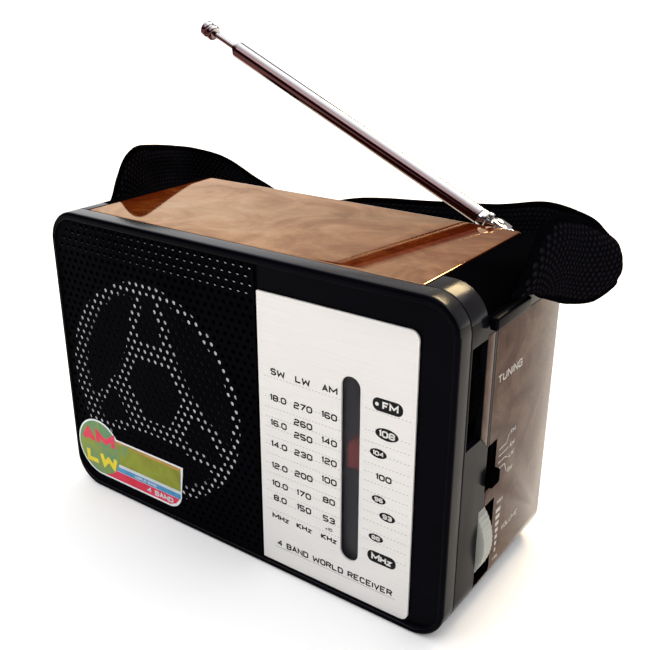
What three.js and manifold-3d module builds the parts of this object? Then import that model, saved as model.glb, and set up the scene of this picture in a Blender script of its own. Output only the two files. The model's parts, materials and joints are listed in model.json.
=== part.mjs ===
// Portable four-band shortwave receiver with a folding telescopic antenna and a soft carrying strap.
// Millimetres, +Z up. X runs left to right across the front, Y runs from the front to the back.
// The origin is the centre of the cabinet's base. Inside this file the pieces are placed in case
// coordinates, where y = 0 is the front face, and one group moves them all back by half the depth.

import * as THREE from "three";
import { mergeVertices } from "three/addons/utils/BufferGeometryUtils.js";
import Module from "manifold-3d";

const wasm = await Module();
wasm.setup();

// ---------------------------------------------------------------------------------------------
// Driving dimensions
// ---------------------------------------------------------------------------------------------

const GAP = 0.3;
const CASE = { half: 100, height: 135, depth: 85.5, corner: 13.8, wall: 2.5, seam: 8.2 };

const FRONT = { floor: 2.0, back: 4.4, left: -98.8, right: 97.6, bottom: 2.2, top: 131.4 };
const GRILLE = { left: -98.4, right: 14.4, bottom: 2.6, top: 131.0, face: 0.7, sheet: 1.0 };
const PERFORATION = { pitch: 9.6, half: 1.8, margin: 4.6 };
const DIAL = { left: 15.6, right: 84.9, bottom: 3.4, top: 121.5, face: 0.9, sheet: 0.8, corner: 3.5 };
const SLOT = { left: 54.1, right: 62.3, bottom: 19.6, top: 98.0 };
const SLOT_X = (SLOT.left + SLOT.right) / 2;

const SPEAKER = { x: -46.2, z: 60.3, ring: 50, ringWidth: 4.2, hub: 21.4, rib: 3.4 };
const STICKER = { x: -84.0, z: 21.4, head: 14.4, tailEnd: -29.5, tailTop: 29.2, tailBottom: 7.2 };

const TUNING = { x: 76, z: 96.6, radius: 24, front: 13.6, back: 20.4, drum: 16 };
const VOLUME = { x: 78.8, z: 29, radius: 24, front: 25, back: 33 };
const PULLEY = { x: 61.2, radius: 3, topZ: 116, bottomZ: 18 };
const CORD = { y: 11, half: 0.35 };
const POINTER_Z = 64.5;
const RAIL_Y = 8;

const BAND = { y: 31.6, z: 56.8 };
const BAND_SLOT = { front: 27.7, back: 35.6, bottom: 51.8, top: 71.1 };
const VOLUME_SLOT = { front: 24.2, back: 37.2, bottom: 10.5, top: 45 };
const TUNING_WINDOW = { front: 9.6, back: 21, bottom: 77.3, top: 115.9 };
const BOARD = { left: 6, right: 94, bottom: 8, top: 126, front: 34, back: 35.6 };
const TRAY = { half: 68, bottom: 4, top: 46.6, front: 44.5, back: 81.9, wall: 1.5 };
const COVER = { front: 82.2, back: 85.2, inset: 2.8 };
const DOOR = { half: 66, bottom: 7, top: 44, front: 83 };
const ROD = { y: 60, z: 121, radius: 4.9, left: -70, right: 50 };
const SCREWS = [[-88.5, 14], [88.5, 14], [-88.5, 121], [88.5, 121]];

const JACK = { y: 40, z: 34, radius: 3.9, bore: 1.8, depth: 12 };
const INLET = { y: 40, z: 18, radius: 5, bore: 3, depth: 9 };

// The thin wood-print skins let into the side walls, as regions in y and z.
const SKIN = 1.2;
const SIDE_PANEL = { front: 28.9, back: 85.5, bottom: 8.5, top: 116.8 };
const TRIM_STRIP = { front: 21.6, back: 26.7, bottom: 71.8, top: 116.8 };
const TOP_PANEL = { left: -83.6, right: 81.4 };

// The antenna's swivel is at (x, y, z); the lengths run outwards from it along the rods.
const ANTENNA = {
  x: 75.5, y: 90.3, z: 130.3, elevation: 24.8,
  base: 2.9, pin: 7, rivet: 11.7, tubeStart: 16, tubeLength: 141, rodShown: 15,
};
const SECTION_RADII = [3.65, 3.0, 2.4, 1.8, 1.2];

const COLOURS = {
  black: { color: 0x101113, roughness: 0.28, metalness: 0.0 },
  mesh: { color: 0x15161a, roughness: 0.45, metalness: 0.2 },
  wood: { color: 0x9a7a62, roughness: 0.22, metalness: 0.0 },
  silver: { color: 0xe6e2da, roughness: 0.4, metalness: 0.3 },
  light: { color: 0xe2e2e4, roughness: 0.5, metalness: 0.0 },
  grey: { color: 0xa9ada8, roughness: 0.5, metalness: 0.0 },
  red: { color: 0xc8342a, roughness: 0.4, metalness: 0.0 },
  smoke: { color: 0x2a2a34, roughness: 0.1, metalness: 0.0 },
  chrome: { color: 0xe4e6e8, roughness: 0.12, metalness: 1.0 },
  steel: { color: 0xb0b2b4, roughness: 0.35, metalness: 1.0 },
  board: { color: 0x2e6b3c, roughness: 0.6, metalness: 0.0 },
  cone: { color: 0x1c1b1a, roughness: 0.9, metalness: 0.0 },
  ferrite: { color: 0x38353a, roughness: 0.7, metalness: 0.1 },
  copper: { color: 0xb5713c, roughness: 0.4, metalness: 0.7 },
  cream: { color: 0xd9cfae, roughness: 0.7, metalness: 0.0 },
  label: { color: 0x7fa25a, roughness: 0.35, metalness: 0.0 },
  fabric: { color: 0x141418, roughness: 0.95, metalness: 0.0 },
};

// ---------------------------------------------------------------------------------------------
// Geometry helpers
// ---------------------------------------------------------------------------------------------

function signedVolume(position, triangles) {
  const a = new THREE.Vector3();
  const b = new THREE.Vector3();
  const c = new THREE.Vector3();
  let volume = 0;
  for (let i = 0; i < triangles.length; i += 3) {
    a.fromBufferAttribute(position, triangles[i]);
    b.fromBufferAttribute(position, triangles[i + 1]);
    c.fromBufferAttribute(position, triangles[i + 2]);
    volume += a.dot(b.cross(c)) / 6;
  }
  return volume;
}

// Joins shared vertices, drops collapsed triangles and turns the faces outwards.
function weld(geometry) {
  const bare = geometry.clone();
  bare.deleteAttribute("normal");
  bare.deleteAttribute("uv");
  const merged = mergeVertices(bare, 1e-4);
  const source = merged.index.array;
  const triangles = [];
  for (let i = 0; i < source.length; i += 3) {
    const [a, b, c] = [source[i], source[i + 1], source[i + 2]];
    if (a !== b && b !== c && c !== a) triangles.push(a, b, c);
  }
  if (signedVolume(merged.attributes.position, triangles) < 0) triangles.reverse();
  merged.setIndex(triangles);
  merged.computeVertexNormals();
  return merged;
}

function toSolid(geometry) {
  const welded = weld(geometry);
  return new wasm.Manifold(new wasm.Mesh({
    numProp: 3,
    vertProperties: new Float32Array(welded.attributes.position.array),
    triVerts: new Uint32Array(welded.index.array),
  }));
}

function toGeometry(solid) {
  const mesh = solid.getMesh();
  const geometry = new THREE.BufferGeometry();
  geometry.setAttribute("position", new THREE.BufferAttribute(mesh.vertProperties, 3));
  geometry.setIndex(new THREE.BufferAttribute(mesh.triVerts, 1));
  geometry.computeVertexNormals();
  return geometry;
}

// Adds a list of geometries to a first one, then cuts another list away.
function combine(first, added, cut) {
  let solid = toSolid(first);
  for (const geometry of added) solid = solid.add(toSolid(geometry));
  for (const geometry of cut) solid = solid.subtract(toSolid(geometry));
  return toGeometry(solid);
}

function arc(x, z, radius, fromDegrees, toDegrees, steps = 6) {
  if (radius === 0) return [new THREE.Vector2(x, z)];
  const points = [];
  for (let i = 0; i <= steps; i += 1) {
    const angle = THREE.MathUtils.degToRad(fromDegrees + ((toDegrees - fromDegrees) * i) / steps);
    points.push(new THREE.Vector2(x + radius * Math.cos(angle), z + radius * Math.sin(angle)));
  }
  return points;
}

// Corner radii are given as bottom left, bottom right, top right, top left.
function roundedRect(left, bottom, right, top, radii, steps = 6) {
  const [bl, br, tr, tl] = Array.isArray(radii) ? radii : [radii, radii, radii, radii];
  return new THREE.Shape([
    ...arc(left + bl, bottom + bl, bl, 180, 270, steps),
    ...arc(right - br, bottom + br, br, 270, 360, steps),
    ...arc(right - tr, top - tr, tr, 0, 90, steps),
    ...arc(left + tl, top - tl, tl, 90, 180, steps),
  ]);
}

function caseOutline(inset, steps = 6) {
  const reach = CASE.half - inset;
  return roundedRect(-reach, inset, reach, CASE.height - inset, CASE.corner - inset, steps);
}

// A shape drawn in the X-Z plane, made solid from y = front to y = back.
function plate(shape, front, back, bevel = 0) {
  const geometry = new THREE.ExtrudeGeometry(shape, {
    depth: back - front - 2 * bevel,
    bevelEnabled: bevel > 0,
    bevelThickness: bevel,
    bevelSize: bevel,
    bevelOffset: -bevel,
    bevelSegments: 2,
    curveSegments: 8,
  });
  geometry.rotateX(Math.PI / 2);
  geometry.translate(0, back - bevel, 0);
  return geometry;
}

function box(x0, x1, y0, y1, z0, z1) {
  const geometry = new THREE.BoxGeometry(x1 - x0, y1 - y0, z1 - z0);
  geometry.translate((x0 + x1) / 2, (y0 + y1) / 2, (z0 + z1) / 2);
  return geometry;
}

function rodY(x, z, radius, front, back, segments = 24) {
  const geometry = new THREE.CylinderGeometry(radius, radius, back - front, segments);
  geometry.translate(x, (front + back) / 2, z);
  return geometry;
}

function rodX(y, z, radius, left, right, segments = 20) {
  const geometry = new THREE.CylinderGeometry(radius, radius, right - left, segments);
  geometry.rotateZ(Math.PI / 2);
  geometry.translate((left + right) / 2, y, z);
  return geometry;
}

function rodZ(x, y, radius, bottom, top, segments = 16) {
  const geometry = new THREE.CylinderGeometry(radius, radius, top - bottom, segments);
  geometry.rotateX(Math.PI / 2);
  geometry.translate(x, y, (bottom + top) / 2);
  return geometry;
}

// A closed profile of [radius, along] pairs turned about the Y axis through (x, z).
function turned(profile, x, z, segments = 32) {
  const points = profile.map(([radius, along]) => new THREE.Vector2(radius, along));
  points.push(points[0].clone());
  const geometry = new THREE.LatheGeometry(points, segments);
  geometry.translate(x, 0, z);
  return geometry;
}

// A thumbwheel disc with grip ribs round its rim.
function ribbedDisc(wheel, ribs, depth) {
  const points = [];
  for (let i = 0; i < ribs * 2; i += 1) {
    const radius = i % 2 === 0 ? wheel.radius : wheel.radius - depth;
    const angle = (Math.PI * i) / ribs;
    points.push(new THREE.Vector2(
      wheel.x + radius * Math.cos(angle), wheel.z + radius * Math.sin(angle)));
  }
  return plate(new THREE.Shape(points), wheel.front, wheel.back);
}

// The convex line round a list of circles given anticlockwise, grown outwards by a margin.
function beltOutline(circles, grow) {
  const normals = circles.map((circle, i) => {
    const next = circles[(i + 1) % circles.length];
    const dx = next.x - circle.x;
    const dz = next.z - circle.z;
    return Math.atan2(dz, dx) - Math.acos((circle.radius - next.radius) / Math.hypot(dx, dz));
  });
  const points = [];
  circles.forEach((circle, i) => {
    const start = THREE.MathUtils.radToDeg(normals[(i + circles.length - 1) % circles.length]);
    let end = THREE.MathUtils.radToDeg(normals[i]);
    while (end < start) end += 360;
    while (end > start + 360) end -= 360;
    points.push(...arc(circle.x, circle.z, circle.radius + grow, start, end, 8));
  });
  return points;
}

// ---------------------------------------------------------------------------------------------
// Cabinet
// ---------------------------------------------------------------------------------------------

function frontBezel() {
  const outer = plate(caseOutline(0), 0, CASE.seam, 1.1);
  const posts = [
    rodY(PULLEY.x, PULLEY.topZ, 1.2, FRONT.back - 0.5, 12.6, 12),
    rodY(PULLEY.x, PULLEY.bottomZ, 1.2, FRONT.back - 0.5, 12.6, 12),
    box(SLOT_X - 2.8, SLOT_X + 2.8, FRONT.back - 0.5, 9.6, 8, 11.5),
    box(SLOT_X - 2.8, SLOT_X + 2.8, FRONT.back - 0.5, 9.6, 108, 111),
  ];
  const radii = [12.6, 11.4, 10.4, 11.4];
  const recess = roundedRect(FRONT.left, FRONT.bottom, FRONT.right, FRONT.top, radii);
  const cuts = [
    plate(recess, -1, FRONT.floor),
    plate(caseOutline(CASE.wall), FRONT.back, CASE.seam + 1),
    rodY(SPEAKER.x, SPEAKER.z, SPEAKER.ring + 0.4, 1, 6, 40),
    box(SLOT.left - 0.9, SLOT.right + 0.9, 1, 6, SLOT.bottom - 0.9, SLOT.top + 0.9),
  ];
  const shell = combine(outer, [], cuts);
  return combine(shell, posts, [rodZ(SLOT_X, RAIL_Y, 1.3, 7, 112, 12)]);
}

// Staggered holes that stay inside the sheet's margin.
function perforatedSheet() {
  const radii = [12.2, 0, 0, 11.0];
  const sheet = roundedRect(GRILLE.left, GRILLE.bottom, GRILLE.right, GRILLE.top, radii);
  const rise = PERFORATION.pitch * Math.sin(Math.PI / 3);
  const left = GRILLE.left + PERFORATION.margin;
  const top = GRILLE.top - PERFORATION.margin;
  const rows = Math.floor((top - GRILLE.bottom - PERFORATION.margin) / rise);
  for (let row = 0; row <= rows; row += 1) {
    const shift = row % 2 === 0 ? PERFORATION.pitch : PERFORATION.pitch / 2;
    for (let x = left + shift; x < GRILLE.right - PERFORATION.margin; x += PERFORATION.pitch) {
      const z = top - row * rise;
      const nearCorner = row === 0 || row === rows;
      if (nearCorner && x < GRILLE.left + 12) continue;
      const hole = [[-1, 0], [0, -1], [1, 0], [0, 1]].map(
        ([dx, dz]) => new THREE.Vector2(x + dx * PERFORATION.half, z + dz * PERFORATION.half));
      sheet.holes.push(new THREE.Path(hole));
    }
  }
  return plate(sheet, GRILLE.face, GRILLE.face + GRILLE.sheet);
}

function polar(radius, degrees) {
  const angle = THREE.MathUtils.degToRad(degrees);
  return new THREE.Vector2(SPEAKER.x + radius * Math.cos(angle), SPEAKER.z + radius * Math.sin(angle));
}

// A light moulding behind the sheet: a ring, three tapering hollow spokes and a six-sided hub.
function speakerGuard() {
  const outer = new THREE.Shape(arc(SPEAKER.x, SPEAKER.z, SPEAKER.ring, 0, 350, 35));
  const ringInside = SPEAKER.ring - SPEAKER.ringWidth;
  const spokeHubHalf = 33.2;
  const hubInside = SPEAKER.hub - SPEAKER.rib;
  for (const spoke of [90, 210, 330]) {
    const outside = 8.6;
    outer.holes.push(new THREE.Path([
      polar(SPEAKER.hub + 3.0, spoke - 22),
      polar(ringInside, spoke - 4.2),
      polar(ringInside, spoke + 4.2),
      polar(SPEAKER.hub + 3.0, spoke + 22),
    ]));
    const from = spoke + outside;
    const to = spoke + 120 - outside;
    outer.holes.push(new THREE.Path([
      polar(SPEAKER.hub + 1.4, spoke + spokeHubHalf + 5),
      ...arc(SPEAKER.x, SPEAKER.z, ringInside, from, to, 10),
      polar(SPEAKER.hub + 1.4, spoke + 120 - spokeHubHalf - 5),
    ]));
  }
  const hub = [];
  for (const spoke of [90, 210, 330]) {
    hub.push(polar(hubInside, spoke - spokeHubHalf), polar(hubInside, spoke + spokeHubHalf));
  }
  outer.holes.push(new THREE.Path(hub));
  return plate(outer, FRONT.floor, FRONT.back);
}

function dialPlate() {
  const radii = [0, DIAL.corner, DIAL.corner, 0];
  const sheet = roundedRect(DIAL.left, DIAL.bottom, DIAL.right, DIAL.top, radii);
  const half = (SLOT.right - SLOT.left) / 2;
  const slot = roundedRect(SLOT.left, SLOT.bottom, SLOT.right, SLOT.top, half);
  sheet.holes.push(new THREE.Path(slot.getPoints()));
  return plate(sheet, DIAL.face, DIAL.face + DIAL.sheet);
}

function dialWindow() {
  return box(SLOT.left - 0.5, SLOT.right + 0.5, 2.2, 3.0, SLOT.bottom - 0.5, SLOT.top + 0.5);
}

function bandSticker() {
  const head = STICKER.head;
  const join = THREE.MathUtils.radToDeg(Math.asin((STICKER.tailTop - STICKER.z) / head));
  const foot = THREE.MathUtils.radToDeg(Math.asin((STICKER.z - STICKER.tailBottom) / head));
  const outline = [
    ...arc(STICKER.x, STICKER.z, head, join, 360 - foot, 20),
    new THREE.Vector2(STICKER.tailEnd - 9, STICKER.tailBottom),
    ...arc(STICKER.tailEnd - 9, STICKER.tailBottom + 8, 8, 285, 350, 4),
    new THREE.Vector2(STICKER.tailEnd + 0.6, STICKER.tailTop),
  ];
  return plate(new THREE.Shape(outline), 0.1, 0.4);
}

// A box that reaches through one side wall; side is +1 for the right wall and -1 for the left one.
function wallBox(side, area, grow = 0) {
  const [near, far] = [side * (CASE.half - 20), side * (CASE.half + 5)];
  return box(Math.min(near, far), Math.max(near, far), area.front - grow, area.back + grow,
    area.bottom - grow, area.top + grow);
}

// The part of the cabinet's outer skin that lies in one region of a side wall.
function skin(side, area, grow = 0) {
  const outside = toSolid(plate(caseOutline(-grow), 0, CASE.depth + 5));
  const inside = toSolid(plate(caseOutline(SKIN + grow), -1, CASE.depth + 6));
  return outside.subtract(inside).intersect(toSolid(wallBox(side, area, grow)));
}

function rightWallSlots() {
  return [BAND_SLOT, VOLUME_SLOT].map((area) => wallBox(1, area));
}

function leftWallHoles() {
  return [JACK, INLET].map((socket) => rodX(
    socket.y, socket.z, socket.radius + GAP, -CASE.half - 5, -CASE.half + 10));
}

function sidePanel(side) {
  let solid = skin(side, SIDE_PANEL);
  const cuts = side > 0 ? rightWallSlots() : leftWallHoles();
  for (const cut of cuts) solid = solid.subtract(toSolid(cut));
  return toGeometry(solid);
}

function trimStrip() {
  return toGeometry(skin(1, TRIM_STRIP));
}

function topPanel() {
  const [front, under] = [CASE.seam + GAP, CASE.height - SKIN];
  return box(TOP_PANEL.left, TOP_PANEL.right, front, CASE.depth, under, CASE.height);
}

function mainShell() {
  const front = CASE.seam + GAP;
  let solid = toSolid(plate(caseOutline(0), front, CASE.depth));
  solid = solid.subtract(toSolid(plate(caseOutline(CASE.wall), front - 1, CASE.depth + 1)));
  for (const [x, z] of SCREWS) {
    const wallX = Math.sign(x) * (CASE.half - CASE.wall + 0.5);
    const [left, right] = [Math.min(x, wallX), Math.max(x, wallX)];
    solid = solid.add(toSolid(rodY(x, z, 4, 62, COVER.front - GAP, 16)));
    solid = solid.add(toSolid(box(left, right, 62, COVER.front - GAP, z - 1, z + 1)));
    solid = solid.subtract(toSolid(rodY(x, z, 1.8, 64, 90, 12)));
  }
  solid = solid.subtract(skin(-1, SIDE_PANEL, GAP));
  solid = solid.subtract(skin(1, SIDE_PANEL, GAP));
  solid = solid.subtract(skin(1, TRIM_STRIP, GAP));
  const cuts = [
    box(TOP_PANEL.left - 0.6, TOP_PANEL.right + 0.8, front - 1, CASE.depth + 5,
      CASE.height - SKIN - GAP, CASE.height + 5),
    wallBox(1, TUNING_WINDOW),
    ...rightWallSlots(),
    ...leftWallHoles(),
  ];
  for (const cut of cuts) solid = solid.subtract(toSolid(cut));
  return toGeometry(solid);
}

function rearCover() {
  const cuts = [
    box(-DOOR.half - 0.4, DOOR.half + 0.4, 80, 90, DOOR.bottom - 0.4, DOOR.top + 0.4),
  ];
  for (const [x, z] of SCREWS) {
    cuts.push(rodY(x, z, 1.9, 80, 90, 12));
    cuts.push(rodY(x, z, 3.6, COVER.back - 1.6, 90, 16));
  }
  return combine(plate(caseOutline(COVER.inset), COVER.front, COVER.back), [], cuts);
}

function rearScrew(x, z) {
  const head = COVER.back - 1.3;
  const profile = [[0, COVER.back], [3.2, COVER.back], [3.2, head], [1.4, head], [1.4, 70], [0, 70]];
  const driver = [
    box(x - 2.2, x + 2.2, COVER.back - 0.6, 90, z - 0.35, z + 0.35),
    box(x - 0.35, x + 0.35, COVER.back - 0.6, 90, z - 2.2, z + 2.2),
  ];
  return combine(turned(profile, x, z, 16), [], driver);
}

function batteryDoor() {
  const leaf = box(-DOOR.half, DOOR.half, DOOR.front, COVER.back, DOOR.bottom, DOOR.top);
  const grip = box(-9, 9, COVER.back - 1, 90, DOOR.top - 5, DOOR.top - 2.5);
  return combine(leaf, [], [grip]);
}

// ---------------------------------------------------------------------------------------------
// Inside the cabinet
// ---------------------------------------------------------------------------------------------

function batteryTray() {
  const outer = box(-TRAY.half, TRAY.half, TRAY.front, TRAY.back, TRAY.bottom, TRAY.top);
  const inner = box(-TRAY.half + TRAY.wall, TRAY.half - TRAY.wall, TRAY.front + TRAY.wall, 90,
    TRAY.bottom + TRAY.wall, TRAY.top - TRAY.wall);
  return combine(outer, [], [inner]);
}

// A coil that narrows as it reaches inwards from the plate on the tray's right-hand wall.
function batterySpring() {
  const coil = { turns: 4, start: 62.8, length: 9, y: 64, z: 25.3, radius: 7, taper: 2.5 };
  class Helix extends THREE.Curve {
    getPoint(t, target = new THREE.Vector3()) {
      const angle = 2 * Math.PI * coil.turns * t;
      const radius = coil.radius - coil.taper * t;
      return target.set(
        coil.start - coil.length * t,
        coil.y + radius * Math.cos(angle),
        coil.z + radius * Math.sin(angle));
    }
  }
  const wire = new THREE.Shape(arc(0, 0, 0.5, 0, 300, 5));
  return new THREE.ExtrudeGeometry(wire, { steps: 56, bevelEnabled: false, extrudePath: new Helix() });
}

function speakerBasket() {
  return turned([
    [44.2, 4.9], [47.2, 4.9], [47.2, 6.3], [45.6, 6.3], [45.6, 9], [24, 23.6],
    [0, 23.6], [0, 22.6], [23.2, 22.6], [44.2, 8.6],
  ], SPEAKER.x, SPEAKER.z, 36);
}

function speakerCone() {
  return turned([
    [0, 14.6], [6, 15.2], [10, 17], [42.5, 5.8], [43.8, 5.3], [43.8, 6.2], [42.9, 6.7],
    [11, 18.4], [6, 16.6], [0, 16],
  ], SPEAKER.x, SPEAKER.z, 36);
}

function tuningWheel() {
  const drum = turned([
    [0, 9.8], [TUNING.drum + 1.4, 9.8], [TUNING.drum + 1.4, 10.4], [TUNING.drum, 10.4],
    [TUNING.drum, 11.6], [TUNING.drum + 1.4, 11.6], [TUNING.drum + 1.4, 12.2], [6, 12.2],
    [6, 14], [0, 14],
  ], TUNING.x, TUNING.z, 36);
  const shaft = rodY(TUNING.x, TUNING.z, 3, TUNING.back - 0.5, 24, 16);
  return combine(ribbedDisc(TUNING, 45, 0.8), [drum, shaft], []);
}

function tuningCapacitor() {
  const half = 11;
  const body = box(TUNING.x - half, TUNING.x + half, 21, 33.7, TUNING.z - half, TUNING.z + half);
  return combine(body, [], [rodY(TUNING.x, TUNING.z, 3.4, 20, 25, 16)]);
}

function volumeWheel() {
  const shaft = rodY(VOLUME.x, VOLUME.z, 3, VOLUME.back - 0.5, 37.5, 16);
  return combine(ribbedDisc(VOLUME, 60, 0.5), [shaft], []);
}

function volumePotentiometer() {
  const body = rodY(VOLUME.x, VOLUME.z, 8.6, 36, 43, 20);
  return combine(body, [], [rodY(VOLUME.x, VOLUME.z, 3.4, 35, 38.2, 16)]);
}

function cordPulley(z) {
  const bore = 1.55;
  return turned([
    [bore, 10], [4.2, 10], [4.2, 10.4], [PULLEY.radius, 10.5], [PULLEY.radius, 11.5],
    [4.2, 11.6], [4.2, 12], [bore, 12],
  ], PULLEY.x, z, 20);
}

function dialCord() {
  const circles = [
    { x: PULLEY.x, z: PULLEY.bottomZ, radius: PULLEY.radius },
    { x: TUNING.x, z: TUNING.z, radius: TUNING.drum },
    { x: PULLEY.x, z: PULLEY.topZ, radius: PULLEY.radius },
  ];
  const loop = new THREE.Shape(beltOutline(circles, GAP + 2 * CORD.half));
  loop.holes.push(new THREE.Path(beltOutline(circles, GAP)));
  return plate(loop, CORD.y - CORD.half, CORD.y + CORD.half);
}

// A tab seen through the slot, with a carriage behind it that rides on the rail.
function dialPointer() {
  const outline = new THREE.Shape([
    [SLOT_X - 2.6, 3.5], [SLOT_X + 2.6, 3.5], [SLOT_X + 2.6, 4.1], [SLOT_X + 1.2, 4.1],
    [SLOT_X + 1.2, 6], [SLOT_X + 2.8, 6], [SLOT_X + 2.8, 9.8], [SLOT_X - 2.8, 9.8],
    [SLOT_X - 2.8, 6], [SLOT_X - 1.2, 6], [SLOT_X - 1.2, 4.1], [SLOT_X - 2.6, 4.1],
  ].map(([x, y]) => new THREE.Vector2(x, y)));
  outline.holes.push(new THREE.Path(arc(SLOT_X, RAIL_Y, 1.35, 0, 330, 11)));
  const height = 9.6;
  const geometry = new THREE.ExtrudeGeometry(outline, { depth: height, bevelEnabled: false });
  geometry.translate(0, 0, POINTER_Z - height / 2);
  return geometry;
}

function bandSwitchKnob() {
  const cap = box(CASE.half + GAP, CASE.half + 2.6, BAND.y - 3.6, BAND.y + 3.6, BAND.z - 3, BAND.z + 3);
  const stem = box(92, CASE.half + 1, BAND.y - 2.4, BAND.y + 2.4, BAND.z - 2.5, BAND.z + 2.5);
  return combine(cap, [stem], []);
}

function circuitBoard() {
  const board = box(BOARD.left, BOARD.right, BOARD.front, BOARD.back, BOARD.bottom, BOARD.top);
  return combine(board, [], [rodY(VOLUME.x, VOLUME.z, 4, 30, 40, 16)]);
}

function rodHolder(x) {
  const block = box(x - 2, x + 2, ROD.y - 7, ROD.y + 7, ROD.z - 7.5, CASE.height - CASE.wall - GAP);
  return combine(block, [], [rodX(ROD.y, ROD.z, ROD.radius + 0.35, x - 3, x + 3)]);
}

function ferriteCoil() {
  const outer = rodX(ROD.y, ROD.z, ROD.radius + 1.6, -34, -6);
  return combine(outer, [], [rodX(ROD.y, ROD.z, ROD.radius + 0.35, -35, -5)]);
}

function socketBody(socket) {
  const face = -CASE.half + 0.2;
  const body = rodX(socket.y, socket.z, socket.radius, face, face + socket.depth + 2, 20);
  return combine(body, [], [rodX(socket.y, socket.z, socket.bore, face - 1, face + socket.depth, 16)]);
}

function powerInlet() {
  const pin = rodX(INLET.y, INLET.z, 1, -CASE.half + 2, -CASE.half + INLET.depth + 1, 12);
  return combine(socketBody(INLET), [pin], []);
}

// ---------------------------------------------------------------------------------------------
// Antenna, in its own frame: X runs out along the rods, Z is the knuckle pin's axis
// ---------------------------------------------------------------------------------------------

function antennaTube(radius, wall, start, end) {
  const inside = radius - wall;
  const profile = [
    [inside, start], [radius, start], [radius, end - 0.6], [radius - wall / 2, end], [inside, end],
  ];
  const points = profile.map(([r, along]) => new THREE.Vector2(r, along));
  points.push(points[0].clone());
  const geometry = new THREE.LatheGeometry(points, 20);
  geometry.rotateZ(-Math.PI / 2);
  return geometry;
}

function antennaYoke() {
  const base = new THREE.CylinderGeometry(4.4, 4.4, 1.4, 20);
  base.translate(0, -2.7, 0);
  const pieces = [box(-3.6, ANTENNA.base, -3.3, 1.5, -3.0, 3.0)];
  for (const [low, high] of [[-3.0, -2.1], [2.1, 3.0]]) {
    pieces.push(box(ANTENNA.base - 0.4, ANTENNA.pin, -3.1, 3.1, low, high));
    pieces.push(rodZ(ANTENNA.pin, 0, 3.1, low, high, 16));
  }
  return combine(base, pieces, [rodZ(ANTENNA.pin, 0, 1.3, -5, 5, 12)]);
}

function antennaTongue() {
  const tongue = box(ANTENNA.pin, ANTENNA.tubeStart, -2.6, 2.6, -1.8, 1.8);
  const end = rodZ(ANTENNA.pin, 0, 2.6, -1.8, 1.8, 20);
  const plug = new THREE.CylinderGeometry(SECTION_RADII[0], SECTION_RADII[0], 3.4, 20);
  plug.rotateZ(Math.PI / 2);
  plug.translate(ANTENNA.tubeStart - 2, 0, 0);
  const rivet = rodZ(ANTENNA.rivet, 0, 1.2, -4.1, 4.1, 12);
  return combine(tongue, [end, plug, rivet], [rodZ(ANTENNA.pin, 0, 1.3, -5, 5, 12)]);
}

function antennaPin() {
  const rivet = rodZ(ANTENNA.pin, 0, 1.0, -3.4, 3.4, 12);
  const heads = [rodZ(ANTENNA.pin, 0, 1.8, 3.3, 3.8, 12), rodZ(ANTENNA.pin, 0, 1.8, -3.8, -3.3, 12)];
  return combine(rivet, heads, []);
}

function antennaRod(radius, start, end) {
  const geometry = new THREE.CylinderGeometry(radius, radius, end - start, 14);
  geometry.rotateZ(-Math.PI / 2);
  geometry.translate((start + end) / 2, 0, 0);
  return geometry;
}

function antennaTip(start) {
  const points = [
    [0, 0], [3.1, 0], [3.5, 0.8], [3.5, 2.4], [2.9, 2.9], [2.9, 3.5], [3.5, 4], [3.5, 6.2],
    [2.8, 7], [0, 7],
  ].map(([r, along]) => new THREE.Vector2(r, along));
  const geometry = new THREE.LatheGeometry(points, 20);
  geometry.rotateZ(-Math.PI / 2);
  geometry.translate(start, 0, 0);
  return geometry;
}

function antennaBracket() {
  const back = COVER.back + GAP;
  const outline = roundedRect(ANTENNA.x - 9, ANTENNA.z - 6.5, ANTENNA.x + 9, CASE.height - 0.8, 2, 3);
  const foot = plate(outline, back, back + 0.8);
  return combine(foot, [rodY(ANTENNA.x, ANTENNA.z, 2.4, back, back + 1.1, 16)], []);
}

// ---------------------------------------------------------------------------------------------
// Carrying strap: a flat band lofted through hand-placed stations, and its two anchors
// ---------------------------------------------------------------------------------------------

const STRAP = { thickness: 3.6, steps: 92 };

// Each station gives the band's upper and lower edge, from the left anchor round the back to the
// right one.
const STRAP_STATIONS = [
  [[-102.6, 33, 127.3], [-102.6, 46.5, 126.6]],
  [[-102.8, 38, 131], [-102.8, 50.5, 124]],
  [[-103.4, 43, 140], [-103, 54, 121.5]],
  [[-104, 49.5, 148.7], [-103.6, 59, 119.5]],
  [[-105, 57.5, 152.3], [-104.6, 65, 118]],
  [[-107.5, 70, 151], [-107.8, 75, 119]],
  [[-110.8, 88, 147.5], [-111.5, 92, 117.5]],
  [[-110.3, 104.5, 143.5], [-112.2, 106, 114.5]],
  [[-98, 113.2, 138.6], [-99, 114.2, 109.6]],
  [[-73.7, 114.5, 130.2], [-73.7, 114.5, 101.2]],
  [[-47.4, 115.5, 126.1], [-47.4, 115.5, 97.1]],
  [[-12.2, 116.3, 129], [-12.2, 116.3, 100]],
  [[23.3, 117.2, 132.4], [23.3, 117.2, 103.4]],
  [[54.8, 118.1, 135.4], [54.8, 118.1, 106.4]],
  [[79, 116.6, 140.3], [81, 117.6, 110.3]],
  [[99.3, 108, 139.5], [103.3, 110.5, 109]],
  [[111.5, 92, 138.3], [119.8, 94, 114]],
  [[110.2, 79.5, 145], [114.8, 81.5, 113]],
  [[107.6, 68, 150], [107.4, 73, 114]],
  [[105.6, 57.5, 152.2], [104.6, 65, 117]],
  [[104, 49.5, 148.5], [103.6, 59, 119.5]],
  [[103.4, 43, 140], [103, 54, 121.5]],
  [[102.8, 38, 131], [102.8, 50.5, 124]],
  [[102.6, 33, 127.3], [102.6, 46.5, 126.6]],
];

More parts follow.
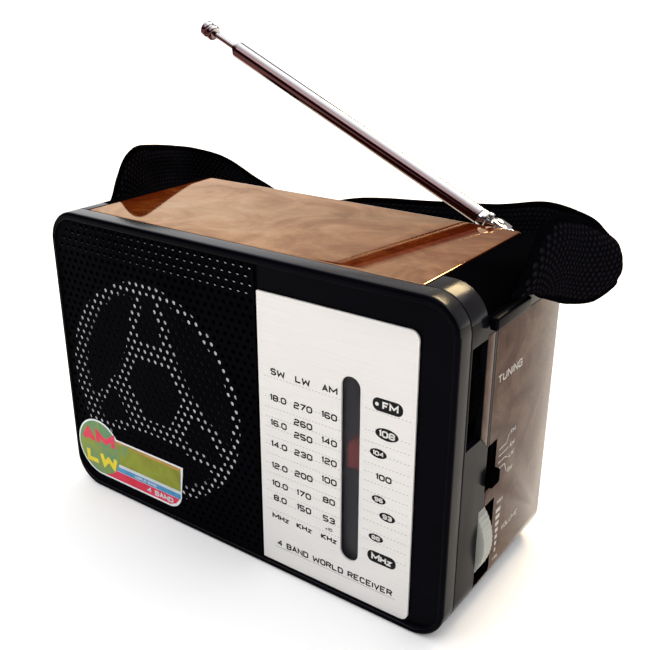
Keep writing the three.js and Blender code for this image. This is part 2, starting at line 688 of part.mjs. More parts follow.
function strapBand() {
  const [upper, lower] = [0, 1].map((edge) => new THREE.CatmullRomCurve3(
    STRAP_STATIONS.map((station) => new THREE.Vector3(...station[edge])), false, "catmullrom", 0.5));
  const half = STRAP.thickness / 2;
  const section = [
    [-1, -0.4], [-0.88, -1], [0.88, -1], [1, -0.4], [1, 0.4], [0.88, 1], [-0.88, 1], [-1, 0.4],
  ];
  const sides = section.length;
  const positions = [];
  const indices = [];
  for (let i = 0; i <= STRAP.steps; i += 1) {
    const t = i / STRAP.steps;
    const high = upper.getPoint(t);
    const low = lower.getPoint(t);
    const centre = high.clone().add(low).multiplyScalar(0.5);
    const across = high.clone().sub(low).multiplyScalar(0.5);
    const along = upper.getTangent(t).add(lower.getTangent(t));
    const out = new THREE.Vector3().crossVectors(along, across).normalize();
    for (const [wide, thick] of section) {
      const corner = centre.clone().addScaledVector(across, wide).addScaledVector(out, thick * half);
      positions.push(corner.x, corner.y, corner.z);
    }
  }
  for (let i = 0; i < STRAP.steps; i += 1) {
    for (let j = 0; j < sides; j += 1) {
      const a = i * sides + j;
      const b = i * sides + ((j + 1) % sides);
      indices.push(a, b, b + sides, a, b + sides, a + sides);
    }
  }
  const last = STRAP.steps * sides;
  for (let j = 1; j < sides - 1; j += 1) {
    indices.push(0, j + 1, j);
    indices.push(last, last + j, last + j + 1);
  }
  const geometry = new THREE.BufferGeometry();
  geometry.setAttribute("position", new THREE.Float32BufferAttribute(positions, 3));
  geometry.setIndex(indices);
  return geometry;
}

function strapAnchor(side) {
  const inner = side * (CASE.half + GAP);
  const outer = side * (CASE.half + 3.6);
  return box(Math.min(inner, outer), Math.max(inner, outer), 20, 47.5, 119.5, 124.2);
}

// ---------------------------------------------------------------------------------------------
// Scene graph
// ---------------------------------------------------------------------------------------------

const receiver = new THREE.Group();
const cabinet = new THREE.Group();
cabinet.position.y = -CASE.depth / 2;
receiver.add(cabinet);

function place(name, geometry, colour, parent = cabinet) {
  const mesh = new THREE.Mesh(weld(geometry), new THREE.MeshStandardMaterial(COLOURS[colour]));
  mesh.name = name;
  parent.add(mesh);
  return mesh;
}

place("front_bezel", frontBezel(), "black");
place("speaker_grille", perforatedSheet(), "mesh");
place("speaker_guard", speakerGuard(), "light");
place("dial_plate", dialPlate(), "silver");
place("dial_window", dialWindow(), "smoke");
place("band_sticker", bandSticker(), "label");
place("main_shell", mainShell(), "black");
place("top_panel", topPanel(), "wood");
place("right_side_panel", sidePanel(1), "wood");
place("right_trim_strip", trimStrip(), "wood");
place("left_side_panel", sidePanel(-1), "wood");
place("rear_cover", rearCover(), "black");
place("battery_door", batteryDoor(), "black");
SCREWS.forEach(([x, z], i) => place(`rear_screw_${i + 1}`, rearScrew(x, z), "steel"));

place("battery_tray", batteryTray(), "black");
place("battery_spring", batterySpring(), "steel");
place("spring_plate", box(64.2, 65.9, 54, 74, 15.3, 35.3), "steel");
place("contact_plate", box(-65.9, -64.9, 54, 74, 15.3, 35.3), "steel");
place("speaker_basket", speakerBasket(), "steel");
place("speaker_cone", speakerCone(), "cone");
place("speaker_magnet", rodY(SPEAKER.x, SPEAKER.z, 22, 23.9, 37.9, 32), "ferrite");
place("circuit_board", circuitBoard(), "board");
place("tuning_wheel", tuningWheel(), "black");
place("tuning_capacitor", tuningCapacitor(), "cream");
place("cord_pulley_top", cordPulley(PULLEY.topZ), "cream");
place("cord_pulley_bottom", cordPulley(PULLEY.bottomZ), "cream");
place("dial_cord", dialCord(), "cream");
place("pointer_rail", rodZ(SLOT_X, RAIL_Y, 1, 8.3, 110.7, 12), "steel");
place("dial_pointer", dialPointer(), "red");
place("volume_wheel", volumeWheel(), "grey");
place("volume_potentiometer", volumePotentiometer(), "steel");
place("band_switch_knob", bandSwitchKnob(), "black");
place("band_switch_body", box(84, 91.6, 26, 33.7, 54.5, 74), "steel");
place("ferrite_rod", rodX(ROD.y, ROD.z, ROD.radius, ROD.left, ROD.right), "ferrite");
place("ferrite_coil", ferriteCoil(), "copper");
place("rod_holder_left", rodHolder(-54), "cream");
place("rod_holder_right", rodHolder(34), "cream");
place("earphone_jack", socketBody(JACK), "black");
place("power_inlet", powerInlet(), "black");

place("antenna_bracket", antennaBracket(), "chrome");
const antenna = new THREE.Group();
antenna.position.set(ANTENNA.x, ANTENNA.y, ANTENNA.z);
antenna.rotation.y = -THREE.MathUtils.degToRad(180 - ANTENNA.elevation);
cabinet.add(antenna);
place("antenna_yoke", antennaYoke(), "chrome", antenna);
place("antenna_pin", antennaPin(), "chrome", antenna);
place("antenna_tongue", antennaTongue(), "chrome", antenna);
const tubeEnd = ANTENNA.tubeStart + ANTENNA.tubeLength;
SECTION_RADII.slice(0, 4).forEach((radius, i) => {
  const start = ANTENNA.tubeStart + 0.4 * i;
  const tube = antennaTube(radius, 0.3, start, tubeEnd + 0.8 * i);
  place(`antenna_section_${i + 1}`, tube, "chrome", antenna);
});
const rodEnd = tubeEnd + ANTENNA.rodShown;
const rodStart = ANTENNA.tubeStart + 2 + ANTENNA.rodShown;
place("antenna_section_5", antennaRod(SECTION_RADII[4], rodStart, rodEnd - GAP), "chrome", antenna);
place("antenna_tip", antennaTip(rodEnd), "chrome", antenna);

place("strap", strapBand(), "fabric");
place("strap_anchor_left", strapAnchor(-1), "black");
place("strap_anchor_right", strapAnchor(1), "black");

export default receiver;
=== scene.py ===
"""Looks of the shortwave receiver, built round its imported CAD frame.

Shapes are worked out in case millimetres: x across the front, y from the front face backwards
and z up from the base. at() turns such a point into the frame's metres.
"""

import json
import math

import bmesh
import bpy
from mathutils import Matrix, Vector, noise


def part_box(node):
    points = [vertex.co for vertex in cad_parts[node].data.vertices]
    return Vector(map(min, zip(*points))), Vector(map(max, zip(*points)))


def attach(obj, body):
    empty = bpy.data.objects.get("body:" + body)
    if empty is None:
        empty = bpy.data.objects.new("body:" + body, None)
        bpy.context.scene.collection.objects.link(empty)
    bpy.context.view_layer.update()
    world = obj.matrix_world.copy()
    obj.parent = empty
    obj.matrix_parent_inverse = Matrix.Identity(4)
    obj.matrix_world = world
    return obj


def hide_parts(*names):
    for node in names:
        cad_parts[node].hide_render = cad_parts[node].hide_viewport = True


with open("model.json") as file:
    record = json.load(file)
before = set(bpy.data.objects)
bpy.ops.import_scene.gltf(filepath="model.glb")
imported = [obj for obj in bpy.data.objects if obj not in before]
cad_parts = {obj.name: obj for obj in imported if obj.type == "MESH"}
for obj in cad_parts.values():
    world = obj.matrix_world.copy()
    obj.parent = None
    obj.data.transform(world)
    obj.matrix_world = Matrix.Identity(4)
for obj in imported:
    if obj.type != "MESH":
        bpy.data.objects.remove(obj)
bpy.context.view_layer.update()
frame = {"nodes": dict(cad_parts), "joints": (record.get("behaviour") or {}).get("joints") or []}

MM = 0.001
FRONT_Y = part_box("front_bezel")[0].y
CABINET = "cabinet"


def case_box(node):
    """Low and high corner of a CAD node in case millimetres."""
    low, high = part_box(node)
    return [tuple((c.x / MM, (c.y - FRONT_Y) / MM, c.z / MM)) for c in (low, high)]


def centre_of(node):
    low, high = case_box(node)
    return tuple((a + b) / 2 for a, b in zip(low, high))


def reach_of(node, axis):
    """Half a CAD node's size along one axis, which is a round part's radius."""
    low, high = case_box(node)
    return (high[axis] - low[axis]) / 2


BEZEL = case_box("front_bezel")
SHELL = case_box("main_shell")
GRILLE = case_box("speaker_grille")
GUARD = case_box("speaker_guard")
DIAL = case_box("dial_plate")
WINDOW = case_box("dial_window")
TUNING = case_box("tuning_wheel")
VOLUME = case_box("volume_wheel")
RIGHT_PANEL = case_box("right_side_panel")
TRIM = case_box("right_trim_strip")
TOP_PANEL = case_box("top_panel")
COVER = case_box("rear_cover")
DOOR = case_box("battery_door")

HALF = BEZEL[1][0]
HEIGHT = BEZEL[1][2]
CORNER = 13.8
WALL = 2.5
SKIN = 1.2
POCKET = 1.5
RECESS = {"left": -98.8, "right": 97.6, "bottom": 2.2, "top": 131.4, "floor": 2.0}
SLOT = {"left": 54.1, "right": 62.3, "bottom": 19.6, "top": 98.0}
BAND_SLOT = {"front": 27.7, "back": 35.6, "bottom": 51.8, "top": 71.1}
VOLUME_SLOT = {"front": 24.2, "back": 37.2, "bottom": 10.5, "top": 45.0}
TUNING_WINDOW = {"front": 9.6, "back": 21.0, "bottom": 77.3, "top": 115.9}


def at(x, y, z):
    """A point in case millimetres as a point of the frame, in metres."""
    return Vector((x * MM, FRONT_Y + y * MM, z * MM))


def front_view(u, v, depth):
    return (u, depth, v)


def right_view(u, v, depth):
    return (HALF - depth, u, v)


# ---- Mesh tools ----


def rounded(left, bottom, right, top, radii, steps=14):
    """A rounded rectangle, anticlockwise from its lower left corner."""
    corners = ((left, bottom, 1, 1, 180), (right, bottom, -1, 1, 270),
               (right, top, -1, -1, 0), (left, top, 1, -1, 90))
    points = []
    for (x, z, side, rise, start), radius in zip(corners, radii):
        for i in range(steps + 1):
            angle = math.radians(start + 90 * i / steps)
            points.append((x + side * radius + radius * math.cos(angle),
                           z + rise * radius + radius * math.sin(angle)))
    return points


def case_outline(inset):
    reach = HALF - inset
    return rounded(-reach, inset, reach, HEIGHT - inset, [CORNER - inset] * 4)


def circle(x, z, radius, count, start=0.0):
    turns = [start + 2 * math.pi * i / count for i in range(count)]
    return [(x + radius * math.cos(a), z + radius * math.sin(a)) for a in turns]


def ellipse(x, z, wide, high, count=28):
    turns = [2 * math.pi * i / count for i in range(count)]
    return [(x + wide / 2 * math.cos(a), z + high / 2 * math.sin(a)) for a in turns]


def ring(outline, depth):
    return [(x, depth, z) for x, z in outline]


def case_rings(*profile):
    """Rings of the cabinet's outline from (inset, depth) pairs."""
    return [ring(case_outline(inset), depth) for inset, depth in profile]


def between(outer, inner, share):
    return [(a + (c - a) * share, b + (d - b) * share) for (a, b), (c, d) in zip(outer, inner)]


def loft(rings, loop=False):
    """A skin over equal rings of points: closed on itself, or capped at both ends."""
    count = len(rings[0])
    verts = [point for one in rings for point in one]
    faces = []
    for i in range(len(rings) if loop else len(rings) - 1):
        low, high = i * count, (i + 1) % len(rings) * count
        for j in range(count):
            k = (j + 1) % count
            faces.append((low + j, low + k, high + k, high + j))
    if not loop:
        faces.append(tuple(range(count)))
        last = (len(rings) - 1) * count
        faces.append(tuple(last + j for j in reversed(range(count))))
    return verts, faces


def prism(outline, low, high, view=front_view):
    """A flat outline made solid between two depths."""
    return loft([[view(u, v, depth) for u, v in outline] for depth in (low, high)])


def block(low, high):
    (x0, y0, z0), (x1, y1, z1) = low, high
    return prism([(x0, z0), (x1, z0), (x1, z1), (x0, z1)], y0, y1)


def turned(profile, centre, axis, side, segments=48):
    """A closed solid turned about an axis from (radius, along) pairs; a zero radius is a pole."""
    axis, side = Vector(axis).normalized(), Vector(side).normalized()
    third = axis.cross(side)
    rings = []
    for radius, along in profile:
        points = []
        for i in range(segments):
            angle = 2 * math.pi * i / segments
            out = side * math.cos(angle) + third * math.sin(angle)
            points.append(tuple(Vector(centre) + axis * along + out * max(radius, 1e-4)))
        rings.append(points)
    return loft(rings)


def spun(profile, x, z, segments):
    """A closed solid turned about a line that runs from front to back."""
    return turned(profile, (x, 0, z), (0, 1, 0), (1, 0, 0), segments)


class Shape:
    """Parts gathered into one mesh, each part with one of the piece's finishes."""

    def __init__(self, *parts):
        self.verts, self.faces, self.kinds = [], [], []
        for part in parts:
            self.add(part)

    def add(self, part, kind=0):
        verts, faces = part
        start = len(self.verts)
        self.verts += verts
        self.faces += [tuple(start + i for i in face) for face in faces]
        self.kinds += [kind] * len(faces)
        return self

    def write(self, kind, *text, **style):
        """Adds a line of lettering, given as text_parts takes it."""
        for part in text_parts(*text, **style):
            self.add(part, kind)

    def mesh(self, name):
        mesh = bpy.data.meshes.new(name)
        mesh.from_pydata([at(*v) for v in self.verts], [], self.faces)
        mesh.polygons.foreach_set("material_index", self.kinds)
        tidy = bmesh.new()
        tidy.from_mesh(mesh)
        bmesh.ops.remove_doubles(tidy, verts=tidy.verts, dist=2e-7)
        bmesh.ops.dissolve_degenerate(tidy, edges=tidy.edges, dist=1e-8)
        bmesh.ops.recalc_face_normals(tidy, faces=tidy.faces)
        tidy.to_mesh(mesh)
        tidy.free()
        return mesh


def link(name, data):
    made = bpy.data.objects.new(name, data)
    bpy.context.scene.collection.objects.link(made)
    return made


def piece(name, *parts):
    """A named object made of parts, or of a shape that is already gathered."""
    shape = parts[0] if isinstance(parts[0], Shape) else Shape(*parts)
    return link(name, shape.mesh(name))


def evaluated(made):
    """The mesh that an object shows once its modifiers or its curve's fill are worked out."""
    bpy.context.view_layer.update()
    graph = bpy.context.evaluated_depsgraph_get()
    return bpy.data.meshes.new_from_object(made.evaluated_get(graph))


def settle(made):
    made.data = evaluated(made)
    made.modifiers.clear()


def cut_away(made, *parts):
    cutter = link("cutter", Shape(*parts).mesh("cutter"))
    change = made.modifiers.new("cut", "BOOLEAN")
    change.operation = "DIFFERENCE"
    change.object = cutter
    settle(made)
    bpy.data.objects.remove(cutter)


def soften(made, width, angle=40, segments=2):
    """Rounds every edge that turns by more than the angle."""
    change = made.modifiers.new("bevel", "BEVEL")
    change.width = width * MM
    change.segments = segments
    change.limit_method = "ANGLE"
    change.angle_limit = math.radians(angle)
    change.harden_normals = False
    settle(made)


def smooth(made, sharp=35):
    """Smooth shading that breaks where faces turn by more than the angle."""
    made.data.shade_smooth()
    made.data.set_sharp_from_angle(angle=math.radians(sharp))


def dress(made, finishes, nodes=(), body=CABINET, sharp=35):
    """Gives a piece its finishes, its smooth shading and the body it rides on."""
    for finish in finishes if isinstance(finishes, (list, tuple)) else [finishes]:
        made.data.materials.append(finish)
    smooth(made, sharp)
    if nodes:
        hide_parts(*nodes)
    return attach(made, body)


def assign(made, index, chosen):
    """Gives the faces that a test picks out another of the piece's finishes."""
    for face in made.data.polygons:
        if chosen(face):
            face.material_index = index


def filled(outline, holes, low, high, view=front_view):
    """A flat sheet with holes, as a part between two depths."""
    curve = bpy.data.curves.new("fill", "CURVE")
    curve.dimensions = "2D"
    curve.fill_mode = "BOTH"
    curve.extrude = (high - low) / 2
    for points in [outline, *holes]:
        spline = curve.splines.new("POLY")
        spline.points.add(len(points) - 1)
        for target, (u, v) in zip(spline.points, points):
            target.co = (u, v, 0, 1)
        spline.use_cyclic_u = True
    made = link("fill", curve)
    mesh = evaluated(made)
    middle = (low + high) / 2
    verts = [view(v.co.x, v.co.y, middle - v.co.z) for v in mesh.vertices]
    faces = [tuple(face.vertices) for face in mesh.polygons]
    bpy.data.objects.remove(made)
    return verts, faces


# ---- Finishes ----


# The colour mix node's sockets that are used, by number because their names repeat.
SHARE, FIRST, SECOND, BLENDED = 0, 6, 7, 2


class Nodes:
    """A node tree with short ways to add, blend and join nodes."""

    def __init__(self, tree):
        self.tree = tree

    def node(self, kind, **settings):
        made = self.tree.nodes.new(kind)
        for name, value in settings.items():
            setattr(made, name, value)
        return made

    def join(self, source, target):
        self.tree.links.new(source, target)

    def mix(self, source, first, second, mode="MIX"):
        made = self.node("ShaderNodeMix", data_type="RGBA", blend_type=mode)
        for value, socket in ((source, SHARE), (first, FIRST), (second, SECOND)):
            if hasattr(value, "is_linked"):
                self.join(value, made.inputs[socket])
            else:
                made.inputs[socket].default_value = value if socket == SHARE else (*value, 1)
        return made.outputs[BLENDED]

    def span(self, source, low, high, start=0.0, end=1.0, **settings):
        made = self.node("ShaderNodeMapRange", **settings)
        for name, value in (("From Min", start), ("From Max", end), ("To Min", low), ("To Max", high)):
            made.inputs[name].default_value = value
        self.join(source, made.inputs["Value"])
        return made.outputs["Result"]


class Finish(Nodes):
    """A principled material with procedural detail in the object's own coordinates."""

    def __init__(self, name, **sockets):
        self.material = bpy.data.materials.new(name)
        self.material.use_nodes = True
        super().__init__(self.material.node_tree)
        self.shader = self.tree.nodes["Principled BSDF"]
        for socket, value in sockets.items():
            self.shader.inputs[socket.replace("_", " ")].default_value = value
        self.place = self.node("ShaderNodeTexCoord").outputs["Object"]

    def stretched(self, scale):
        mapping = self.node("ShaderNodeMapping")
        mapping.inputs["Scale"].default_value = scale
        self.join(self.place, mapping.inputs["Vector"])
        return mapping.outputs["Vector"]

    def noise(self, scale, detail=3.0, roughness=0.5, distortion=0.0, stretch=(1, 1, 1)):
        made = self.node("ShaderNodeTexNoise")
        for name, value in (("Scale", scale), ("Detail", detail), ("Roughness", roughness),
                            ("Distortion", distortion)):
            made.inputs[name].default_value = value
        self.join(self.stretched(stretch), made.inputs["Vector"])
        return made.outputs["Fac"]

    def ramp(self, source, *stops):
        made = self.node("ShaderNodeValToRGB")
        ramp = made.color_ramp
        while len(ramp.elements) < len(stops):
            ramp.elements.new(0.5)
        for element, (place, colour) in zip(ramp.elements, stops):
            element.position = place
            element.color = (*colour, 1)
        self.join(source, made.inputs["Fac"])
        return made.outputs["Color"]

    def colour(self, source):
        self.join(source, self.shader.inputs["Base Color"])
        return self

    def rough(self, source, low, high):
        self.join(self.span(source, low, high), self.shader.inputs["Roughness"])
        return self

    def bump(self, source, height):
        made = self.node("ShaderNodeBump")
        made.inputs["Distance"].default_value = height * MM
        self.join(source, made.inputs["Height"])
        self.join(made.outputs["Normal"], self.shader.inputs["Normal"])
        return self


def plastic(name, dark, light, roughness, specular=0.5, texture=0.02, glow=0.0):
    """Moulded plastic: faint colour drift, uneven gloss and a fine moulded texture."""
    made = Finish(name, Specular_IOR_Level=specular, Emission_Strength=glow,
                  Emission_Color=(*light, 1))
    drift = made.noise(35, 4)
    grain = made.noise(900, 2)
    made.colour(made.ramp(drift, (0.3, dark), (0.7, light)))
    made.rough(made.noise(120, 4), roughness * 0.8, roughness * 1.25)
    made.bump(grain, texture)
    return made.material


def metal(name, colour, roughness, streak=(1, 1, 1), texture=0.004, worn=0.86):
    made = Finish(name, Metallic=1.0)
    grain = made.noise(600, 3, stretch=streak)
    shade = tuple(c * worn for c in colour)
    made.colour(made.ramp(grain, (0.35, shade), (0.65, colour)))
    made.rough(made.noise(250, 4, stretch=streak), roughness * 0.7, roughness * 1.5)
    made.bump(grain, texture)
    return made.material


def painted_reflection_chrome():
    """Chrome with a painted reflection: colour painted bright along the top and a dark brownish
    reflection painted along the front underside, by which way the surface faces.
    """
    made = Finish("mast_chrome_painted_reflection", Metallic=1.0, Specular_Tint=(0.25, 0.25, 0.25, 1.0))
    # The direction of the surfaces that take the painted highlight.
    painted_highlight_side = (0.394, 0.616, 0.68)
    facing = made.node("ShaderNodeVectorMath", operation="DOT_PRODUCT")
    made.join(made.node("ShaderNodeTexCoord").outputs["Normal"], facing.inputs[0])
    facing.inputs[1].default_value = painted_highlight_side
    around = made.span(facing.outputs["Value"], 0.0, 1.0, -1.0, 1.0)
    # Painted reflection: the colour follows the surface's facing, with a thin light line at the far
    # underside, a dark brownish band underneath, a bright highlight band towards the top and a dark
    # line at the upper edge.
    painted_reflection = made.ramp(around, (0.010, (0.62, 0.58, 0.54)), (0.035, (0.080, 0.030, 0.030)),
                       (0.34, (0.085, 0.034, 0.034)), (0.45, (0.16, 0.105, 0.108)),
                       (0.56, (0.28, 0.25, 0.255)), (0.70, (0.62, 0.61, 0.62)),
                       (0.79, (0.92, 0.91, 0.90)), (0.85, (0.70, 0.69, 0.69)),
                       (0.90, (0.08, 0.07, 0.08)))
    grain = made.noise(500, 3)
    haze = made.ramp(grain, (0.3, (0.94, 0.94, 0.94)), (0.7, (1.0, 1.0, 1.0)))
    made.colour(made.mix(1.0, painted_reflection, haze, "MULTIPLY"))
    made.rough(made.noise(200, 3), 0.11, 0.16)
    return made.material


def wood_print(name, coat, specular, contrast, *tones):
    """Glossy burr print: warm clouds with dark pores under a lacquer that mirrors at a glance."""
    made = Finish(name, Coat_Weight=coat, Coat_IOR=1.5, Coat_Roughness=0.03, IOR=2.4)
    facing = made.node("ShaderNodeLayerWeight").outputs["Facing"]
    gloss = made.span(facing, specular * 0.12, specular, 0.12, 0.58)
    made.join(gloss, made.shader.inputs["Specular IOR Level"])
    clouds = made.noise(34, 6, 0.62, 1.4, stretch=(0.9, 1.0, 1.0))
    streaks = made.noise(95, 5, 0.62, 2.2, stretch=(0.6, 1.3, 0.9))
    pores = made.noise(420, 3, 0.7, 0.4, stretch=(0.5, 1.5, 1.0))
    base = made.ramp(clouds, *zip((0.36, 0.46, 0.54, 0.64), tones))
    sheen = made.ramp(clouds, (0.36, (0.80, 0.49, 0.25)), (0.50, (0.98, 0.67, 0.36)),
                      (0.64, (1.0, 0.80, 0.50)))
    lines = made.ramp(streaks, (0.38, (0.50, 0.46, 0.46)), (0.52, (1.0, 1.0, 1.0)),
                      (0.66, (1.25, 1.22, 1.3)))
    warm = made.mix(contrast, base, lines, "MULTIPLY")
    dots = made.ramp(pores, (0.30, (0.55, 0.5, 0.46)), (0.44, (1.0, 1.0, 1.0)))
    made.colour(made.mix(0.4, warm, dots, "MULTIPLY"))
    made.join(made.mix(0.12, sheen, lines, "MULTIPLY"), made.shader.inputs["Specular Tint"])
    made.rough(streaks, 0.03, 0.06)
    made.bump(made.noise(16, 2), 0.04)
    return made.material


def silver_plate():
    """Satin silvery print with a fine horizontal brushing."""
    made = Finish("dial_silver", Metallic=0.12, Specular_IOR_Level=0.4)
    brushed = made.noise(70, 4, 0.6, stretch=(0.4, 1, 22))
    drift = made.noise(16, 3)
    base = made.ramp(brushed, (0.3, (0.76, 0.75, 0.73)), (0.7, (0.83, 0.82, 0.805)))
    made.colour(made.mix(made.span(drift, 0.0, 0.35), base, (0.81, 0.79, 0.75)))
    made.rough(brushed, 0.34, 0.5)
    made.bump(brushed, 0.006)
    return made.material


def ink(name, colour, roughness=0.4, specular=0.4):
    made = Finish(name, Specular_IOR_Level=specular)
    grain = made.noise(700, 3)
    faded = tuple(c * 0.8 + 0.012 for c in colour)
    made.colour(made.ramp(grain, (0.35, colour), (0.75, faded)))
    made.rough(grain, roughness * 0.8, roughness * 1.2)
    return made.material


def printed(name, first, second, scale=60):
    """Glossy coloured film whose colour drifts between two tones."""
    made = Finish(name, Coat_Weight=0.12, Coat_Roughness=0.1, Specular_IOR_Level=0.15)
    drift = made.noise(scale, 3, 0.55, 0.6)
    made.colour(made.ramp(drift, (0.36, first), (0.64, second)))
    made.rough(made.noise(300, 3), 0.28, 0.42)
    return made.material


def smoked_window():
    made = Finish("window_smoke", Transmission_Weight=0.96, IOR=1.22, Specular_IOR_Level=0.2)
    drift = made.noise(60, 3, stretch=(2.2, 1, 0.4))
    made.colour(made.ramp(drift, (0.3, (0.26, 0.26, 0.31)), (0.7, (0.36, 0.36, 0.42))))
    made.rough(drift, 0.3, 0.4)
    return made.material


def mesh_fabric():
    """Black sandwich mesh: lighter threads round each opening, fuzz and a fine rib."""
    made = Finish("strap_fabric", Specular_IOR_Level=0.0)
    knots = made.node("ShaderNodeAttribute", attribute_name="knot").outputs["Fac"]
    fuzz = made.noise(1400, 3)
    base = made.ramp(fuzz, (0.3, (0.0006, 0.0005, 0.0009)), (0.75, (0.0024, 0.0022, 0.0034)))
    made.colour(made.mix(knots, base, (0.016, 0.015, 0.020)))
    made.rough(fuzz, 0.62, 0.9)
    made.bump(fuzz, 0.09)
    return made.material


def paper(name, dark, light):
    made = Finish(name, Specular_IOR_Level=0.15)
    fibres = made.noise(500, 5, 0.65, 0.5)
    made.colour(made.ramp(fibres, (0.3, dark), (0.7, light)))
    made.rough(fibres, 0.75, 0.95)
    made.bump(fibres, 0.05)
    return made.material


def winding(name, dark, light, step):
    made = Finish(name, Metallic=0.6)
    turns = made.node("ShaderNodeTexWave", wave_type="BANDS", bands_direction="X")
    turns.inputs["Scale"].default_value = step
    turns.inputs["Distortion"].default_value = 0.4
    made.join(made.place, turns.inputs["Vector"])
    made.colour(made.ramp(turns.outputs["Fac"], (0.2, dark), (0.8, light)))
    made.rough(turns.outputs["Fac"], 0.5, 0.3)
    made.bump(turns.outputs["Fac"], 0.15)
    return made.material


FACE_BLACK = plastic("face_black", (0.0006, 0.0005, 0.0016), (0.0014, 0.0012, 0.0032), 0.30,
                     specular=0.02, texture=0.012)
BEZEL_BLACK = plastic("bezel_black", (0.003, 0.003, 0.005), (0.006, 0.006, 0.009), 0.20,
                      specular=0.16, texture=0.02)
SHELL_BLACK = plastic("shell_black", (0.003, 0.003, 0.0045), (0.006, 0.006, 0.008), 0.22,
                      specular=0.04, texture=0.02)
INNER_BLACK = plastic("inner_black", (0.0008, 0.0008, 0.0012), (0.0016, 0.0016, 0.0022), 0.45,
                      specular=0.0, texture=0.03)
GRILLE_BLACK = plastic("grille_black", (0.0010, 0.0009, 0.0017), (0.0020, 0.0018, 0.0032), 0.36,
                       specular=0.004, texture=0.02)
# The guard's glow is painted light, standing in for light that comes through the grille's holes.
GUARD_WHITE_GLOWING = plastic("guard_white", (0.84, 0.84, 0.87), (0.94, 0.94, 0.96), 0.45, texture=0.02,
                      glow=0.3)
WHEEL_GREY = plastic("wheel_grey", (0.33, 0.35, 0.33), (0.42, 0.44, 0.42), 0.4, specular=0.2,
                     texture=0.04)
# The pointer's glow is painted light, so that it shows through the smoked window.
POINTER_RED_GLOWING = plastic("pointer_red", (0.80, 0.05, 0.02), (0.95, 0.08, 0.04), 0.4, glow=0.22)
CREAM = plastic("cream_plastic", (0.62, 0.55, 0.37), (0.72, 0.65, 0.46), 0.5)
BOARD = plastic("board_green", (0.006, 0.030, 0.010), (0.012, 0.052, 0.018), 0.4, texture=0.05)
FERRITE = plastic("ferrite", (0.03, 0.028, 0.032), (0.055, 0.05, 0.058), 0.7, texture=0.08)
CHROME = metal("chrome", (0.62, 0.615, 0.62), 0.06, texture=0.0002, worn=0.97)
MAST_CHROME_PAINTED_REFLECTION = painted_reflection_chrome()
STEEL = metal("steel", (0.55, 0.55, 0.56), 0.3, streak=(1, 5, 1))
WOOD = wood_print("wood_print", 0.04, 1.0, 0.45, (0.060, 0.008, 0.002), (0.090, 0.014, 0.002),
                  (0.125, 0.024, 0.004), (0.175, 0.044, 0.008))
WOOD_SIDE = wood_print("wood_print_side", 0.06, 0.01, 0.26, (0.064, 0.035, 0.028),
                       (0.084, 0.050, 0.040), (0.108, 0.068, 0.053), (0.136, 0.087, 0.067))
SILVER = silver_plate()
INK_BLACK = ink("ink_black", (0.006, 0.006, 0.007), specular=0.06)
INK_GREY = ink("ink_grey", (0.28, 0.28, 0.28))
INK_SILVER = ink("ink_silver", (0.80, 0.79, 0.77))
INK_WHITE = ink("ink_white", (0.50, 0.48, 0.45), specular=0.1)
SMOKE = smoked_window()
FABRIC = mesh_fabric()
CONE_PAPER = paper("speaker_paper", (0.012, 0.012, 0.012), (0.03, 0.03, 0.03))
THREAD = paper("dial_thread", (0.5, 0.45, 0.32), (0.66, 0.6, 0.44))
COPPER = winding("copper_winding", (0.22, 0.08, 0.03), (0.62, 0.28, 0.12), 500)

CARRIED_OVER = {
    GUARD_WHITE_GLOWING: ["speaker_guard"],
    STEEL: ["battery_spring", "spring_plate", "contact_plate", "speaker_basket", "pointer_rail",
            "volume_potentiometer"],
    CONE_PAPER: ["speaker_cone"],
    FERRITE: ["speaker_magnet", "ferrite_rod"],
    BOARD: ["circuit_board"],
    CREAM: ["tuning_capacitor", "rod_holder_left", "rod_holder_right"],
    THREAD: ["dial_cord"],
    COPPER: ["ferrite_coil"],
    POINTER_RED_GLOWING: ["dial_pointer"],
    INNER_BLACK: ["battery_tray", "earphone_jack", "power_inlet", "band_switch_body",
                  "cord_pulley_top", "cord_pulley_bottom"],
}


def carry_over():
    """Hidden and simple parts keep their CAD shape and take a worked finish."""
    for finish, names in CARRIED_OVER.items():
        for name in names:
            node = frame["nodes"][name]
            node.data.materials.clear()
            node.data.materials.append(finish)
            smooth(node)


# ---- Cabinet ----

# The front lip's cross-section: share of its width from the outer edge inwards, and depth.
LIP = [(1, 1.3), (1, 0.6), (0.95, 0.28), (0.84, 0.08), (0.68, 0), (0.46, 0), (0.32, 0.07),
       (0.18, 0.27), (0.06, 0.62), (0, 1.1)]


def recess_outline(inset):
    radii = [r - inset for r in (12.6, 11.4, 10.4, 11.4)]
    return rounded(RECESS["left"] + inset, RECESS["bottom"] + inset,
                   RECESS["right"] - inset, RECESS["top"] - inset, radii)


